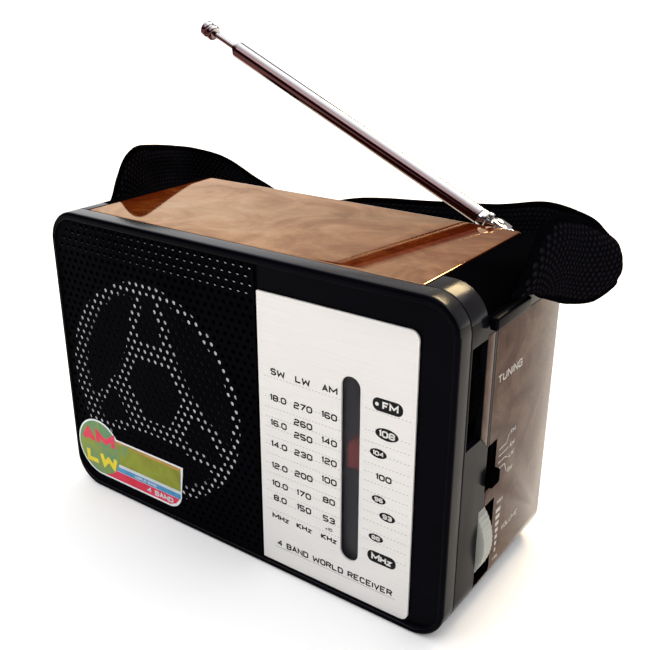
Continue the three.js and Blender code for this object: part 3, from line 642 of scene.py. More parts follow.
def front_bezel():
    floor, back = RECESS["floor"], BEZEL[1][1]
    seam = 8.2
    speaker_back = GUARD[1][1]
    rings = [ring(recess_outline(1.2), floor), ring(recess_outline(0.3), floor),
             ring(recess_outline(0.09), floor - 0.07), ring(recess_outline(0), floor - 0.28)]
    outer = case_outline(0)
    inner = recess_outline(0)
    rings += [ring(between(outer, inner, share), depth) for share, depth in LIP]
    rings += case_rings((0, 1.6), (0, seam - 0.6), (0.08, seam - 0.22), (0.35, seam), (WALL, seam),
                        (WALL, speaker_back))
    made = piece("front_bezel_shell", loft(rings))
    x, _, z = centre_of("speaker_guard")
    mouth = circle(x, z, reach_of("speaker_guard", 0) + 0.4, 96)
    rim = 0.9
    opening = rounded(SLOT["left"] - rim, SLOT["bottom"] - rim, SLOT["right"] + rim,
                      SLOT["top"] + rim, [1.2] * 4, 4)
    before, behind = 1, 6
    cut_away(made, prism(mouth, before, behind), prism(opening, before, behind))
    dress(made, [BEZEL_BLACK, FACE_BLACK, SHELL_BLACK], ["front_bezel"])
    assign(made, 1, lambda face: face.normal.y < -0.6)
    assign(made, 2, lambda face: abs(face.normal.x) > 0.95)
    pulley_posts(speaker_back - 0.2, back)


def pulley_posts(foot, back):
    """Stubs on the bezel's back that carry the two cord pulleys."""
    profile = [(0, foot), (1.2, foot), (1.2, back - 0.2), (1.0, back), (0, back)]
    posts = []
    for node in ("cord_pulley_top", "cord_pulley_bottom"):
        x, _, z = centre_of(node)
        posts.append(spun(profile, x, z, 20))
    dress(piece("pulley_posts", *posts), INNER_BLACK)


def side_line(side, inset, bottom, top, steps=8):
    """Points up one side wall, following the lower corner's curve where it reaches down to it."""
    radius = CORNER - inset
    points = []
    if bottom < CORNER:
        start = math.asin(max(-1, (bottom - CORNER) / CORNER))
        for i in range(steps + 1):
            angle = start * (1 - i / steps)
            points.append((side * (HALF - CORNER + radius * math.cos(angle)),
                           CORNER + radius * math.sin(angle)))
    else:
        points.append((side * (HALF - inset), bottom))
    points.append((side * (HALF - inset), top))
    return points


def side_skin(side, outer, inner, bottom, top, front, back):
    outline = side_line(side, inner, bottom, top) + side_line(side, outer, bottom, top)[::-1]
    return prism(outline, front, back)


def wall_box(side, area):
    near, far = sorted((side * (HALF - 20), side * (HALF + 5)))
    return block((near, area["front"], area["bottom"]), (far, area["back"], area["top"]))


def socket_hole(side, node):
    _, y, z = centre_of(node)
    outside = (side * (HALF + 3), y, z)
    radius = reach_of(node, 1) + 0.3
    return turned([(radius, 0), (radius, 13)], outside, (-side, 0, 0), (0, 1, 0), 40)


def main_shell():
    front, back = SHELL[0][1], SHELL[1][1]
    rings = case_rings((0.35, front), (0.08, front + 0.22), (0, front + 0.6), (0, 20), (0, 45),
                       (0, back - 1.0), (0.3, back - 0.3), (1.0, back), (WALL, back),
                       (WALL, front))
    made = piece("cabinet_shell", loft(rings, loop=True))
    low, high = RIGHT_PANEL
    gap = 0.3
    pockets = [side_skin(side, -2, POCKET, low[2] - gap, high[2] + gap, low[1] - gap, back + 1)
               for side in (1, -1)]
    top_pocket = block((TOP_PANEL[0][0] - 0.6, front - 1, HEIGHT - POCKET),
                       (TOP_PANEL[1][0] + 0.9, back + 1, HEIGHT + 1))
    cut_away(made, *pockets, top_pocket, prism(trim_outline(gap), -1, POCKET, right_view))
    cut_away(made, wall_box(1, TUNING_WINDOW), wall_box(1, BAND_SLOT))
    cut_away(made, wall_box(1, VOLUME_SLOT), socket_hole(-1, "earphone_jack"),
             socket_hole(-1, "power_inlet"))
    soften(made, 0.12, 50, 1)
    dress(made, [SHELL_BLACK, BEZEL_BLACK, INNER_BLACK], ["main_shell"])
    behind = at(0, 20, 0)[1]
    assign(made, 1, lambda face: face.normal.z > 0.2)
    # Upward faces from 20 mm back take the darker non-reflecting black: painted shade and dark
    # reflection of the strap that hangs over the shoulder.
    assign(made, 2, lambda face: face.normal.z > 0.2 and face.center.y > behind)


def trim_outline(grow=0.0):
    (_, front, bottom), (_, back, top) = TRIM
    return [(back + grow, bottom - grow), (back + grow, top + grow),
            (front - grow, top + grow), (front - grow, bottom + 5.6 - grow)]


def wood_panels():
    low, high = RIGHT_PANEL
    for side, name, node in ((1, "right_wood_panel", "right_side_panel"),
                             (-1, "left_wood_panel", "left_side_panel")):
        made = piece(name, side_skin(side, 0, SKIN, low[2], high[2], low[1], high[1]))
        if side > 0:
            cut_away(made, wall_box(1, BAND_SLOT), wall_box(1, VOLUME_SLOT))
        else:
            cut_away(made, socket_hole(-1, "earphone_jack"), socket_hole(-1, "power_inlet"))
        soften(made, 0.18, 50, 2)
        dress(made, [WOOD_SIDE, INNER_BLACK], [node])
        assign(made, 1, lambda face: abs(face.normal.x) < 0.4)
    strip = piece("trim_strip", prism(trim_outline(), 0, SKIN, right_view))
    soften(strip, 0.18)
    dress(strip, WOOD_SIDE, ["right_trim_strip"])
    top_wood_panel()


def top_wood_panel():
    (left, front, under), (right, back, top) = TOP_PANEL
    rings = []
    for inset, height in ((0, under), (0, top - 0.4), (0.1, top - 0.15), (0.32, top - 0.03),
                          (0.8, top), (2.4, top)):
        outline = rounded(left + inset, front + inset, right - inset, back - inset,
                          [1.2 - inset * 0.4] * 4, 5)
        rings.append([(x, y, height) for x, y in outline])
    dress(piece("top_wood_panel", loft(rings)), WOOD, ["top_panel"])


SCREWS = range(1, 5)


def rear_cover():
    front, back = COVER[0][1], COVER[1][1]
    inset = HALF - COVER[1][0]
    rim = [(0, 0.6), (0.18, 0.18), (0.6, 0), (5, 0), (5.3, 0.35), (6.3, 0.35), (6.6, 0), (8, 0)]
    profile = [(inset + inwards, back - drop) for inwards, drop in rim]
    made = piece("rear_panel", loft(case_rings((inset, front), *profile)))
    gap = 0.4
    door = block((DOOR[0][0] - gap, front - 2, DOOR[0][2] - gap),
                 (DOOR[1][0] + gap, back + 2, DOOR[1][2] + gap))
    well = [(1.9, front - 2), (1.9, back - 1.6), (3.5, back - 1.6), (3.7, back + 2)]
    wells = []
    for number in SCREWS:
        x, _, z = centre_of(f"rear_screw_{number}")
        wells.append(spun(well, x, z, 40))
    cut_away(made, door, *wells)
    vents = [rounded(-78, z, -14, z + 1.8, [0.9] * 4, 5) for z in range(62, 107, 5)]
    cut_away(made, *[prism(vent, back - 0.7, back + 1) for vent in vents])
    soften(made, 0.12, 50, 1)
    dress(made, SHELL_BLACK, ["rear_cover"])
    battery_door(back)
    for number in SCREWS:
        rear_screw(number, back)


def battery_door(back):
    (left, front, bottom), (right, _, top) = DOOR
    leaf = rounded(left, bottom, right, top, [1.5] * 4, 6)
    inner = rounded(left + 0.5, bottom + 0.5, right - 0.5, top - 0.5, [1.2] * 4, 6)
    made = piece("battery_lid", loft([ring(leaf, front), ring(leaf, back - 0.4), ring(inner, back)]))
    grooves = []
    for i in range(5):
        z = top - 9.5 + i * 1.5
        grooves.append(prism(rounded(-11, z, 11, z + 0.7, [0.3] * 4, 4), back - 0.6, back + 1))
    cut_away(made, *grooves)
    soften(made, 0.12, 50, 1)
    dress(made, SHELL_BLACK, ["battery_door"], body="door")


def rear_screw(number, back):
    node = f"rear_screw_{number}"
    x, _, z = centre_of(node)
    tip = case_box(node)[0][1]
    head = [(0, back - 0.1), (1.2, back - 0.12), (2.3, back - 0.3), (3.0, back - 0.7),
            (3.2, back - 1.2), (1.4, back - 1.3), (1.4, tip + 2), (0.5, tip), (0, tip)]
    made = piece(f"rear_fixing_{number}", spun(head, x, z, 32))
    arm, notch = 1.7, 0.3
    for wide, high in ((arm, notch), (notch, arm)):
        cut_away(made, block((x - wide, back - 0.8, z - high), (x + wide, back + 1, z + high)))
    dress(made, STEEL, [node])


# ---- Speaker sheet and sticker ----

SHEET = {"recess": 0.3, "thick": 0.5, "corner": 11.5}
HOLES = {"pitch": 3.9, "row": 3.33, "radius": 0.98, "margin": 1.9, "top": 129.9, "glint": 117.0}


def painted_hole_glint():
    """Painted glint on the upward hole walls under the top lip: a lighter grey and a painted glow,
    brighter towards the dial.
    """
    made = Finish("hole_edges_painted_glint", Specular_IOR_Level=0.3, Emission_Color=(1, 1, 1, 1))
    along = made.node("ShaderNodeSeparateXYZ")
    made.join(made.place, along.inputs[0])
    glint_mottle = made.noise(260, 3)
    # Painted glow, growing brighter towards the dial.
    bright = made.span(along.outputs["X"], 0.0, 0.42, -0.06, 0.014)
    made.join(bright, made.shader.inputs["Emission Strength"])
    # Lighter grey painted onto these walls as light catching them.
    made.colour(made.ramp(glint_mottle, (0.3, (0.03, 0.03, 0.035)), (0.7, (0.12, 0.12, 0.13))))
    made.rough(glint_mottle, 0.3, 0.5)
    return made.material


def speaker_sheet():
    """Thin steel sheet with staggered round holes over its whole face."""
    (left, face, bottom), (right, _, top) = GRILLE
    face += SHEET["recess"]
    outline = rounded(left, bottom, right, top, [12.2, 0.01, 0.01, 11.0], 12)
    holes = []
    row = 0
    z = HOLES["top"]
    while z > bottom + HOLES["margin"]:
        x = left + HOLES["margin"] + (row % 2) * HOLES["pitch"] / 2
        while x < right - HOLES["margin"] + 0.4:
            if inside_corners(x, z, left, bottom, top):
                holes.append(circle(x, z, HOLES["radius"], 12, 0.26))
            x += HOLES["pitch"]
        z -= HOLES["row"]
        row += 1
    made = piece("perforated_sheet", filled(outline, holes, face, face + SHEET["thick"]))
    dress(made, [GRILLE_BLACK, painted_hole_glint()], ["speaker_grille"])
    glint = at(0, 0, HOLES["glint"])[2]
    highest = at(0, 0, HOLES["top"])[2]
    # Hole walls that face upward in the top rows take the painted glint.
    assign(made, 1, lambda face: face.normal.z > 0.8 and glint < face.center.z < highest)


def inside_corners(x, z, left, bottom, top):
    """Whether a hole's centre keeps its margin from the sheet's two rounded corners."""
    radius = SHEET["corner"]
    if x > left + radius or bottom + radius < z < top - radius:
        return True
    corner_z = bottom + radius if z < bottom + radius else top - radius
    return math.hypot(x - left - radius, z - corner_z) < radius - HOLES["margin"] + 0.2


# Two tones of each printed film, and how fine its drift is.
FILMS = {
    "white": ((0.78, 0.82, 0.86), (0.86, 0.88, 0.9)),
    "teal": ((0.10, 0.27, 0.13), (0.25, 0.31, 0.03), 75),
    "olive": ((0.20, 0.19, 0.006), (0.26, 0.31, 0.015), 70),
    "red": ((0.66, 0.015, 0.05), (0.78, 0.03, 0.10)),
    "yellow": ((0.78, 0.62, 0.01), (0.86, 0.72, 0.03)),
    "blue": ((0.04, 0.24, 0.50), (0.10, 0.36, 0.60)),
    "pale": ((0.55, 0.62, 0.66), (0.66, 0.70, 0.72)),
    "rust": ((0.34, 0.24, 0.02), (0.52, 0.26, 0.05), 90),
}
STICKER = {"x": -84.0, "z": 21.3, "head": 14.6, "rim": 0.9, "end": -29.3, "top": 29.4,
           "bottom": 6.6, "back": 0.28, "thick": 0.18}


def sticker_outline():
    """A round head that runs into a tail with one rounded lower corner."""
    head, end, top, bottom = (STICKER[key] for key in ("head", "end", "top", "bottom"))
    join = math.asin((top - STICKER["z"]) / head)
    foot = 2 * math.pi - math.asin(min(1, (STICKER["z"] - bottom) / head))
    points = []
    for i in range(41):
        angle = join + (foot - join) * i / 40
        points.append((STICKER["x"] + head * math.cos(angle), STICKER["z"] + head * math.sin(angle)))
    radius = 8
    for i in range(9):
        angle = math.radians(270 + 78 * i / 8)
        points.append((end - 2 - radius + radius * math.cos(angle),
                       bottom + radius + radius * math.sin(angle)))
    points.append((end, top))
    return points


def sticker_band(low, high, start, end_low, end_high):
    return [(start, low), (end_low, low), (end_high, high), (start, high)]


def band_sticker():
    """A generic glossy label: a round head with band letters and a tail of coloured strips."""
    back = GRILLE[0][1] + STICKER["back"]
    film = 0.05
    white, teal, olive, red, yellow, blue, pale, rust = range(len(FILMS))
    x, z = STICKER["x"], STICKER["z"]
    right = STICKER["end"] - 1.4
    face = back - STICKER["thick"]
    made = Shape()
    made.add(prism(sticker_outline(), face, back), white)
    tail = [
        (sticker_band(16.6, 27.2, x + 4, right - 0.9, right - 0.1), olive),
        (sticker_band(27.2, 28.6, x + 4, right - 0.1, right), rust),
        (sticker_band(15.0, 16.6, x + 4, right - 1.0, right - 0.9), pale),
        (sticker_band(12.4, 15.0, x + 4, right - 1.3, right - 1.0), blue),
        ([(x + 2, 7.6), (right - 8, 7.6), (right - 4.4, 9.2), (right - 1.9, 12.2), (x + 6, 12.2)],
         red),
        ([(-70.5, 21.5), (-66.4, 21.5), (-64.2, 27.8), (-68.6, 27.8)], teal),
    ]
    for outline, kind in tail:
        depth = face - film * (1.6 if kind == teal else 1)
        made.add(prism(outline, depth, face), kind)
    head = STICKER["head"] - STICKER["rim"]
    letters = face - 2 * film
    made.add(prism(circle(x, z, head, 56), letters, face), teal)
    made.write(red, "AM", x - 0.4, z + 5.2, 7.6, 2.7, letters - film, letters, wide=1.36)
    made.write(yellow, "LW", x + 1.0, z - 5.6, 7.4, 2.3, letters - film, letters, wide=1.32)
    made.write(pale, "WORLD BAND", -54, 13.7, 1.3, 0.3, letters, face - film)
    made.write(pale, "4 BAND", -45, 9.9, 2.7, 0.7, letters, face - film)
    films = [printed(f"label_{name}", *tones) for name, tones in FILMS.items()]
    dress(piece("band_label", made), films, ["band_sticker"])


# ---- Lettering ----

# Squared strokes through grid points, each a column and a row digit; capitals are six rows high.
STROKES = {
    "0": ["10 30 41 45 36 16 05 01 10"], "1": ["05 16 10"],
    "2": ["05 16 36 45 44 33 13 02 00 40"], "3": ["05 16 36 45 44 33 42 41 30 10 01", "13 33"],
    "4": ["30 36 02 42"], "5": ["46 06 03 33 42 41 30 00"],
    "6": ["45 36 16 05 01 10 30 41 42 33 03"], "7": ["06 46 10"],
    "8": ["13 04 05 16 36 45 44 33 13 02 01 10 30 41 42 33"],
    "9": ["01 10 30 41 45 36 16 05 04 13 43"], ".": ["00 01"], "x": ["00 33", "03 30"],
    "S": ["45 36 16 05 04 13 33 42 41 30 10 01"], "W": ["06 10 34 50 66"], "L": ["06 00 40"],
    "A": ["00 26 40", "12 32"], "M": ["00 06 32 66 60"], "F": ["00 06 46", "03 33"],
    "H": ["00 06", "40 46", "03 43"], "z": ["04 34 00 30"], "K": ["00 06", "46 03 40"],
    "T": ["06 46", "26 20"], "U": ["06 01 10 30 41 46"], "N": ["00 06 40 46"], "I": ["00 06"],
    "G": ["45 36 16 05 01 10 40 43 23"], "V": ["06 20 46"], "O": ["10 30 41 45 36 16 05 01 10"],
    "E": ["46 06 00 40", "03 33"], "R": ["00 06 36 45 44 33 03", "23 40"],
    "C": ["45 36 16 05 01 10 30 41"], "D": ["00 06 36 45 41 30 00"],
    "B": ["03 33 44 45 36 06 00 30 41 42 33"], "X": ["00 46", "06 40"], " ": [],
}
# Gap between letters, in columns.
SPACE = 1.7


def glyph_width(letter):
    return max([int(token[0]) for stroke in STROKES[letter] for token in stroke.split()] or [2])


def stroke_part(points, width, low, high, view):
    """One pen stroke of even width with mitred bends, as a thin solid."""
    closed = points[0] == points[-1]
    line = points[:-1] if closed else points
    rings = []
    for i, (u, v) in enumerate(line):
        before = line[i - 1] if closed or i > 0 else None
        after = line[(i + 1) % len(line)] if closed or i < len(line) - 1 else None
        arrive = Vector((u - before[0], v - before[1])).normalized() if before else None
        leave = Vector((after[0] - u, after[1] - v)).normalized() if after else None
        along = ((arrive or leave) + (leave or arrive)).normalized()
        reach = width / 2 / max(0.45, along.dot(leave or arrive))
        side = Vector((-along.y, along.x)) * reach
        rings.append([view(u + side.x, v + side.y, low), view(u - side.x, v - side.y, low),
                      view(u - side.x, v - side.y, high), view(u + side.x, v + side.y, high)])
    return loft(rings, loop=closed)


def text_parts(text, x, z, height, width, low, high, view=front_view, wide=1.15):
    """Letters centred on a point of the view's plane; height is the capitals' own height."""
    unit = (height - width) / 6
    across = height / 6 * wide
    total = sum(glyph_width(c) for c in text) + SPACE * (len(text) - 1)
    cursor = x - total * across / 2
    parts = []
    for letter in text:
        for layer, stroke in enumerate(STROKES[letter]):
            points = [(cursor + int(u) * across, z + (int(v) - 3) * unit) for u, v in stroke.split()]
            parts.append(stroke_part(points, width, low - 0.006 * layer, high, view))
        cursor += (glyph_width(letter) + SPACE) * across
    return parts


# ---- Dial ----

SCALES = {
    24.87: [("18.0", 79.2), ("16.0", 68.3), ("14.0", 58.9), ("12.0", 49.3), ("10.0", 41.1),
            ("8.0", 34.4), ("MHz", 25.5)],
    36.71: [("270", 79.2), ("260", 72.1), ("250", 66.5), ("230", 58.9), ("200", 49.5),
            ("170", 41.1), ("150", 34.5), ("KHz", 25.6)],
    48.76: [("160", 79.4), ("140", 68.6), ("120", 60.1), ("100", 51.8), ("80", 42.8),
            ("53", 34.4), ("KHz", 25.6)],
}
HEADERS = [("SW", 24.97), ("LW", 36.71), ("AM", 49.0)]
OVALS = [("108", 73.56, 79.6, 9.6, 4.75, 2.7), ("104", 70.24, 71.1, 7.1, 3.7, 1.9),
         ("96", 70.95, 52.0, 6.0, 3.25, 1.8), ("93", 74.76, 45.7, 6.8, 3.6, 2.0),
         ("88", 70.14, 35.0, 6.4, 3.2, 1.8)]
PILLS = [("FM", 73.6, 90.7, 12.4, 5.1, 3.0), ("MHz", 72.86, 26.45, 12.5, 4.9, 3.0)]
BOLD = 0.235
RULES = [87.7, 79.2, 74.8, 70.6, 66.1, 62.2, 58.3, 54.1, 49.7, 45.5, 41.5, 37.1, 33.0, 28.2]


def dial_plate():
    (left, face, bottom), (right, back, top) = DIAL
    outline = rounded(left, bottom, right, top, [0.3, 3.5, 3.5, 0.3], 10)
    half = (SLOT["right"] - SLOT["left"]) / 2
    slot = rounded(SLOT["left"], SLOT["bottom"], SLOT["right"], SLOT["top"], [half] * 4, 14)
    made = piece("dial_face", filled(outline, [slot], face, back))
    soften(made, 0.1, 60, 2)
    dress(made, SILVER, ["dial_plate"])
    dial_print(face)


def dial_print(face):
    """Scale figures, band names and rules, standing a hair proud of the plate."""
    level, over, top = face - 0.02, face - 0.045, face - 0.07
    dark, grey, bright = range(3)
    made = Shape()
    for x, entries in SCALES.items():
        for text, z in entries:
            height = 2.5 if text.endswith("z") else 2.75
            made.write(dark, text, x, z, height, 0.58, over, face)
    made.write(dark, "x10", 48.7, 30.0, 1.4, 0.28, over, face)
    for text, x in HEADERS:
        made.write(dark, text, x, 90.25, 2.8, 0.62, over, face)
    made.write(dark, "100", 72.75, 61.6, 2.6, 0.58, over, face)
    made.write(dark, "4 BAND WORLD RECEIVER", 50.5, 13.15, 2.8, 0.58, over, face, wide=1.06)
    made.add(rule(21.8, 79.3, 11.0, level, face), grey)
    for z in RULES:
        for dash in dotted(18.5, 53.1, z, level, face) + dotted(64.4, 83.2, z, level, face):
            made.add(dash, grey)
    for text, x, z, wide, high, size in OVALS:
        made.add(prism(ellipse(x, z, wide, high), over, face), dark)
        made.write(bright, text, x, z, size, size * BOLD, top, over, wide=1.1)
    for text, x, z, wide, high, size in PILLS:
        radius = high / 2 - 0.2
        plate = rounded(x - wide / 2, z - high / 2, x + wide / 2, z + high / 2, [radius] * 4, 8)
        made.add(prism(plate, over, face), dark)
        shift = 1.1 if text == "FM" else 0
        made.write(bright, text, x + shift, z, size, size * BOLD, top, over, wide=1.0)
    made.add(prism(circle(69.2, 90.7, 0.75, 16), top, over), bright)
    dress(piece("dial_printing", made), [INK_BLACK, INK_GREY, INK_SILVER])


def rule(start, end, z, low, high):
    return stroke_part([(start, z), (end, z)], 0.16, low, high, front_view)


def dotted(start, end, z, low, high):
    """A row of short dashes at an even step."""
    step, dash = 1.5, 0.7
    starts = [start + i * step for i in range(int((end - start) / step) + 1)]
    return [rule(x, x + dash, z, low, high) for x in starts]


def dial_window():
    (left, front, bottom), (right, back, top) = WINDOW
    rings = []
    for inset, depth in ((0.3, front), (0, front + 0.25), (0, back - 0.25), (0.3, back)):
        outline = rounded(left + inset, bottom + inset, right - inset, top - inset, [1.0] * 4, 5)
        rings.append(ring(outline, depth))
    dress(piece("dial_glass", loft(rings)), SMOKE, ["dial_window"])


# ---- Controls ----


def ribbed_rings(x, z, radius, ribs, depth, front, back, chamfer):
    """Rings of a thumbwheel whose rim carries rounded grip ribs."""
    rings = []
    for inset, y in ((chamfer * 3, front), (chamfer, front + chamfer * 0.4), (0, front + chamfer),
                     (0, back - chamfer), (chamfer, back - chamfer * 0.4), (chamfer * 3, back)):
        outline = []
        for i in range(ribs * 6):
            angle = 2 * math.pi * i / (ribs * 6)
            wave = 0.5 - 0.5 * math.cos(angle * ribs)
            reach = radius - inset - depth * wave ** 1.6
            outline.append((x + reach * math.cos(angle), z + reach * math.sin(angle)))
        rings.append(ring(outline, y))
    return rings


def thumbwheels():
    x, _, z = centre_of("volume_wheel")
    (_, front, _), (_, back, _) = VOLUME
    rim = 33
    grip = loft(ribbed_rings(x, z, reach_of("volume_wheel", 0), 72, 0.2, front, rim, 0.5))
    hub = [(0, rim - 0.2), (3, rim - 0.2), (3, back - 0.4), (2.6, back), (0, back)]
    made = piece("volume_thumbwheel", grip, spun(hub, x, z, 24))
    dress(made, WHEEL_GREY, ["volume_wheel"], body="volume_control")
    x, _, z = centre_of("tuning_wheel")
    (_, front, _), (_, back, _) = TUNING
    near, far, drum = 13.6, 20.4, 16.0
    grip = loft(ribbed_rings(x, z, reach_of("tuning_wheel", 0), 54, 0.7, near, far, 0.5))
    reel = [(0, front), (drum + 1.2, front), (drum + 1.4, front + 0.2), (drum, front + 0.6),
            (drum, 11.6), (drum + 1.4, 12.0), (drum + 1.2, 12.2), (6, 12.2), (6, near + 0.2),
            (0, near + 0.2)]
    hub = [(0, far - 0.2), (3, far - 0.2), (3, back), (0, back)]
    made = piece("tuning_thumbwheel", grip, spun(reel, x, z, 48), spun(hub, x, z, 24))
    dress(made, INNER_BLACK, ["tuning_wheel"], body="tuning_control")


def band_knob():
    """Slide button with finger ridges across its face."""
    _, y, z = centre_of("band_switch_knob")
    face = case_box("band_switch_knob")[1][0]
    half_y, half_z = (reach_of("band_switch_knob", axis) for axis in (1, 2))
    rings = []
    for x, share, radius in ((HALF + 0.3, 1.0, 0.9), (face - 0.7, 1.0, 0.9), (face - 0.2, 0.93, 0.9),
                             (face, 0.8, 0.8)):
        outline = rounded(y - half_y * share, z - half_z * share, y + half_y * share,
                          z + half_z * share, [radius] * 4, 4)
        rings.append([(x, u, v) for u, v in outline])
    made = piece("band_slider", loft(rings))
    grooves = [block((face - 0.35, y - half_y - 1, z - 1.9 + i * 1.2),
                     (face + 1, y + half_y + 1, z - 1.5 + i * 1.2)) for i in range(4)]
    cut_away(made, *grooves)
    dress(made, INNER_BLACK, ["band_switch_knob"], body="band_selector")
    stem = block((92, y - 2.4, z - 2.5), (HALF + 0.4, y + 2.4, z + 2.5))
    dress(piece("band_slider_stem", stem), INNER_BLACK, body="band_selector")


def side_print():
    """White legends beside the thumbwheels and the band switch."""
    low, high = -0.03, 0.0
    made = Shape()

    def write(text, y, z, height, width, wide):
        made.write(0, text, y, z, height, width, low, high, view=right_view, wide=wide)

    write("TUNING", 42.3, 96.0, 3.3, 0.6, 1.28)
    write("VOLUME", 54.0, 25.5, 2.3, 0.42, 1.1)
    for text, start, z in (("FM", 65.0, 68.2), ("AM", 62.1, 62.4), ("LW", 59.2, 58.2),
                           ("SW", 56.4, 51.6)):
        leader = [(38.2, start), (44.2, start), (46.6, z)]
        made.add(stroke_part(leader, 0.42, low, high, right_view))
        write(text, 49.9, z, 2.0, 0.4, 1.0)
    for i in range(7):
        z = 36.6 - i * 3.1
        half = 1.9 - i * 0.22
        made.add(prism([(42 - half, z - 0.9), (42 + half, z - 0.9), (42 + half + 0.1, z + 0.9),
                        (42 - half - 0.1, z + 0.9)], low, high, right_view))
    write("MAX", 43.0, 40.6, 1.7, 0.36, 1.0)
    write("MIN", 42.6, 14.0, 1.7, 0.36, 1.0)
    dress(piece("side_legends", made), INK_WHITE)


def socket_rings():
    """Bright bushings let into the two sockets' mouths."""
    for node, name in (("earphone_jack", "jack_bushing"), ("power_inlet", "inlet_bushing")):
        _, y, z = centre_of(node)
        radius = reach_of(node, 1)
        rings = []
        for inwards, depth in ((0.1, 0.16), (0.15, 0.02), (0.9, 0.02), (1.0, 0.16)):
            outline = circle(y, z, radius - inwards, 40)
            rings.append([(-HALF + depth, u, v) for u, v in outline])
        dress(piece(name, loft(rings, loop=True)), STEEL)


# ---- Antenna, along the axis that the record gives its sections ----

JOINTS = {joint["name"]: joint for joint in frame["joints"]}


def case_point(metres):
    return Vector((metres[0] / MM, (metres[1] - FRONT_Y) / MM, metres[2] / MM))


SWIVEL = case_point(JOINTS["antenna_swivel"]["pos_m"])
ALONG = Vector(JOINTS["mast_section_2_slide"]["axis"]).normalized()
ACROSS = Vector((0, 1, 0))
UPRIGHT = ALONG.cross(ACROSS)
RADII = [3.65, 3.0, 2.4, 1.8]
# The waisted tip button: radius, and distance from its foot.
BUTTON = [(0, 0), (2.5, 0.05), (3.1, 0.3), (3.45, 0.8), (3.5, 1.3), (3.5, 2.2), (3.3, 2.6),
          (2.95, 2.9), (2.9, 3.2), (2.95, 3.5), (3.3, 3.8), (3.5, 4.2), (3.5, 5.6), (3.35, 6.3),
          (2.8, 6.8), (1.6, 7.0), (0, 7.0)]
MAST = {"base": 2.9, "pin": 7.0, "rivet": 11.7, "start": 16.0, "length": 141.0, "rod": 15.0}


def mast_point(along, across=0.0, upright=0.0):
    return tuple(SWIVEL + ALONG * along + ACROSS * across + UPRIGHT * upright)


def mast_lathe(profile, segments=48):
    return turned(profile, tuple(SWIVEL), ALONG, ACROSS, segments)


def mast_slab(outline, low, high):
    """An outline in the along-across plane, made solid between two upright distances."""
    return loft([[mast_point(a, b, level) for a, b in outline] for level in (low, high)])


def tube_loop(radius, wall, start, end):
    """A hollow tube with a rolled lip at its open end."""
    inside = radius - wall
    profile = [(inside, start), (radius, start), (radius, end - 1.5), (radius, end - 0.5),
               (radius - 0.12, end - 0.15), (radius - wall * 0.6, end), (inside - 0.05, end - 0.1),
               (inside, end - 0.4)]
    rings = []
    for reach, along in profile:
        turns = [2 * math.pi * i / 48 for i in range(48)]
        rings.append([mast_point(along, reach * math.cos(a), reach * math.sin(a)) for a in turns])
    return loft(rings, loop=True)


def half_turns():
    """Angles that step through half a circle."""
    return [math.pi * i / 16 for i in range(17)]


def antenna():
    bracket()
    antenna_fork()
    antenna_knuckle()
    antenna_tubes()


def antenna_fork():
    """The swivelling disc with two cheeks, and the pin through them."""
    disc = [(0, -3.4), (3.9, -3.4), (4.4, -3.1), (4.4, -2.3), (4.1, -2.0), (0, -2.0)]
    fork = Shape(turned(disc, tuple(SWIVEL), ACROSS, ALONG, 40))
    fork.add(mast_slab(rounded(-3.6, -3.3, MAST["base"], 1.5, [1.0] * 4, 5), -3.0, 3.0))
    root, reach = MAST["base"] - 0.4, 3.1
    round_end = [(MAST["pin"] + reach * math.sin(a), -reach * math.cos(a)) for a in half_turns()]
    cheek = [(root, -reach), *round_end, (root, reach)]
    for low, high in ((-3.0, -2.1), (2.1, 3.0)):
        fork.add(mast_slab(cheek, low, high))
    made = piece("antenna_fork", fork)
    soften(made, 0.18, 40, 2)
    dress(made, CHROME, ["antenna_yoke"], body="antenna_base")
    pin = piece("antenna_hinge_pin", pin_lathe(MAST["pin"], 1.0, 1.9, 3.05, 3.85))
    dress(pin, CHROME, ["antenna_pin"], body="antenna_base")


def antenna_knuckle():
    """The flat tongue that tilts in the fork, its rivet and the collar that holds the tubes."""
    start, reach = MAST["start"], 2.6
    outline = [(MAST["pin"] - reach * math.sin(a), reach * math.cos(a)) for a in half_turns()]
    outline += [(start, -reach), (start, reach)]
    collar = [(0, start - 4.1), (2.4, start - 4.1), (3.2, start - 3.7), (3.6, start - 3.0),
              (3.6, start - 0.3), (0, start - 0.3)]
    made = piece("antenna_knuckle", mast_slab(outline, -1.8, 1.8),
                 pin_lathe(MAST["rivet"], 1.0, 1.4, 3.3, 4.1), mast_lathe(collar))
    soften(made, 0.15, 40, 2)
    dress(made, CHROME, ["antenna_tongue"], body="antenna_mast")


def antenna_tubes():
    start = MAST["start"]
    end = start + MAST["length"]
    bodies = ["antenna_mast", "mast_section_2", "mast_section_3", "mast_section_4"]
    for i, (body, radius) in enumerate(zip(bodies, RADII)):
        tube = tube_loop(radius, 0.3, start + 0.4 * i, end + 0.8 * i)
        made = piece(f"antenna_tube_{i + 1}", tube)
        dress(made, MAST_CHROME_PAINTED_REFLECTION, [f"antenna_section_{i + 1}"], body=body)
    foot, rod_end = start + 2 + MAST["rod"], end + MAST["rod"]
    rod = [(0, foot), (1.1, foot), (1.2, start + 2.3 + MAST["rod"]), (1.2, rod_end - 0.3),
           (0, rod_end - 0.3)]
    made = piece("antenna_rod", mast_lathe(rod, 32))
    dress(made, MAST_CHROME_PAINTED_REFLECTION, ["antenna_section_5"], body="mast_section_5")
    made = piece("antenna_button", mast_lathe([(r, rod_end + s) for r, s in BUTTON]))
    dress(made, MAST_CHROME_PAINTED_REFLECTION, ["antenna_tip"], body="mast_section_5")


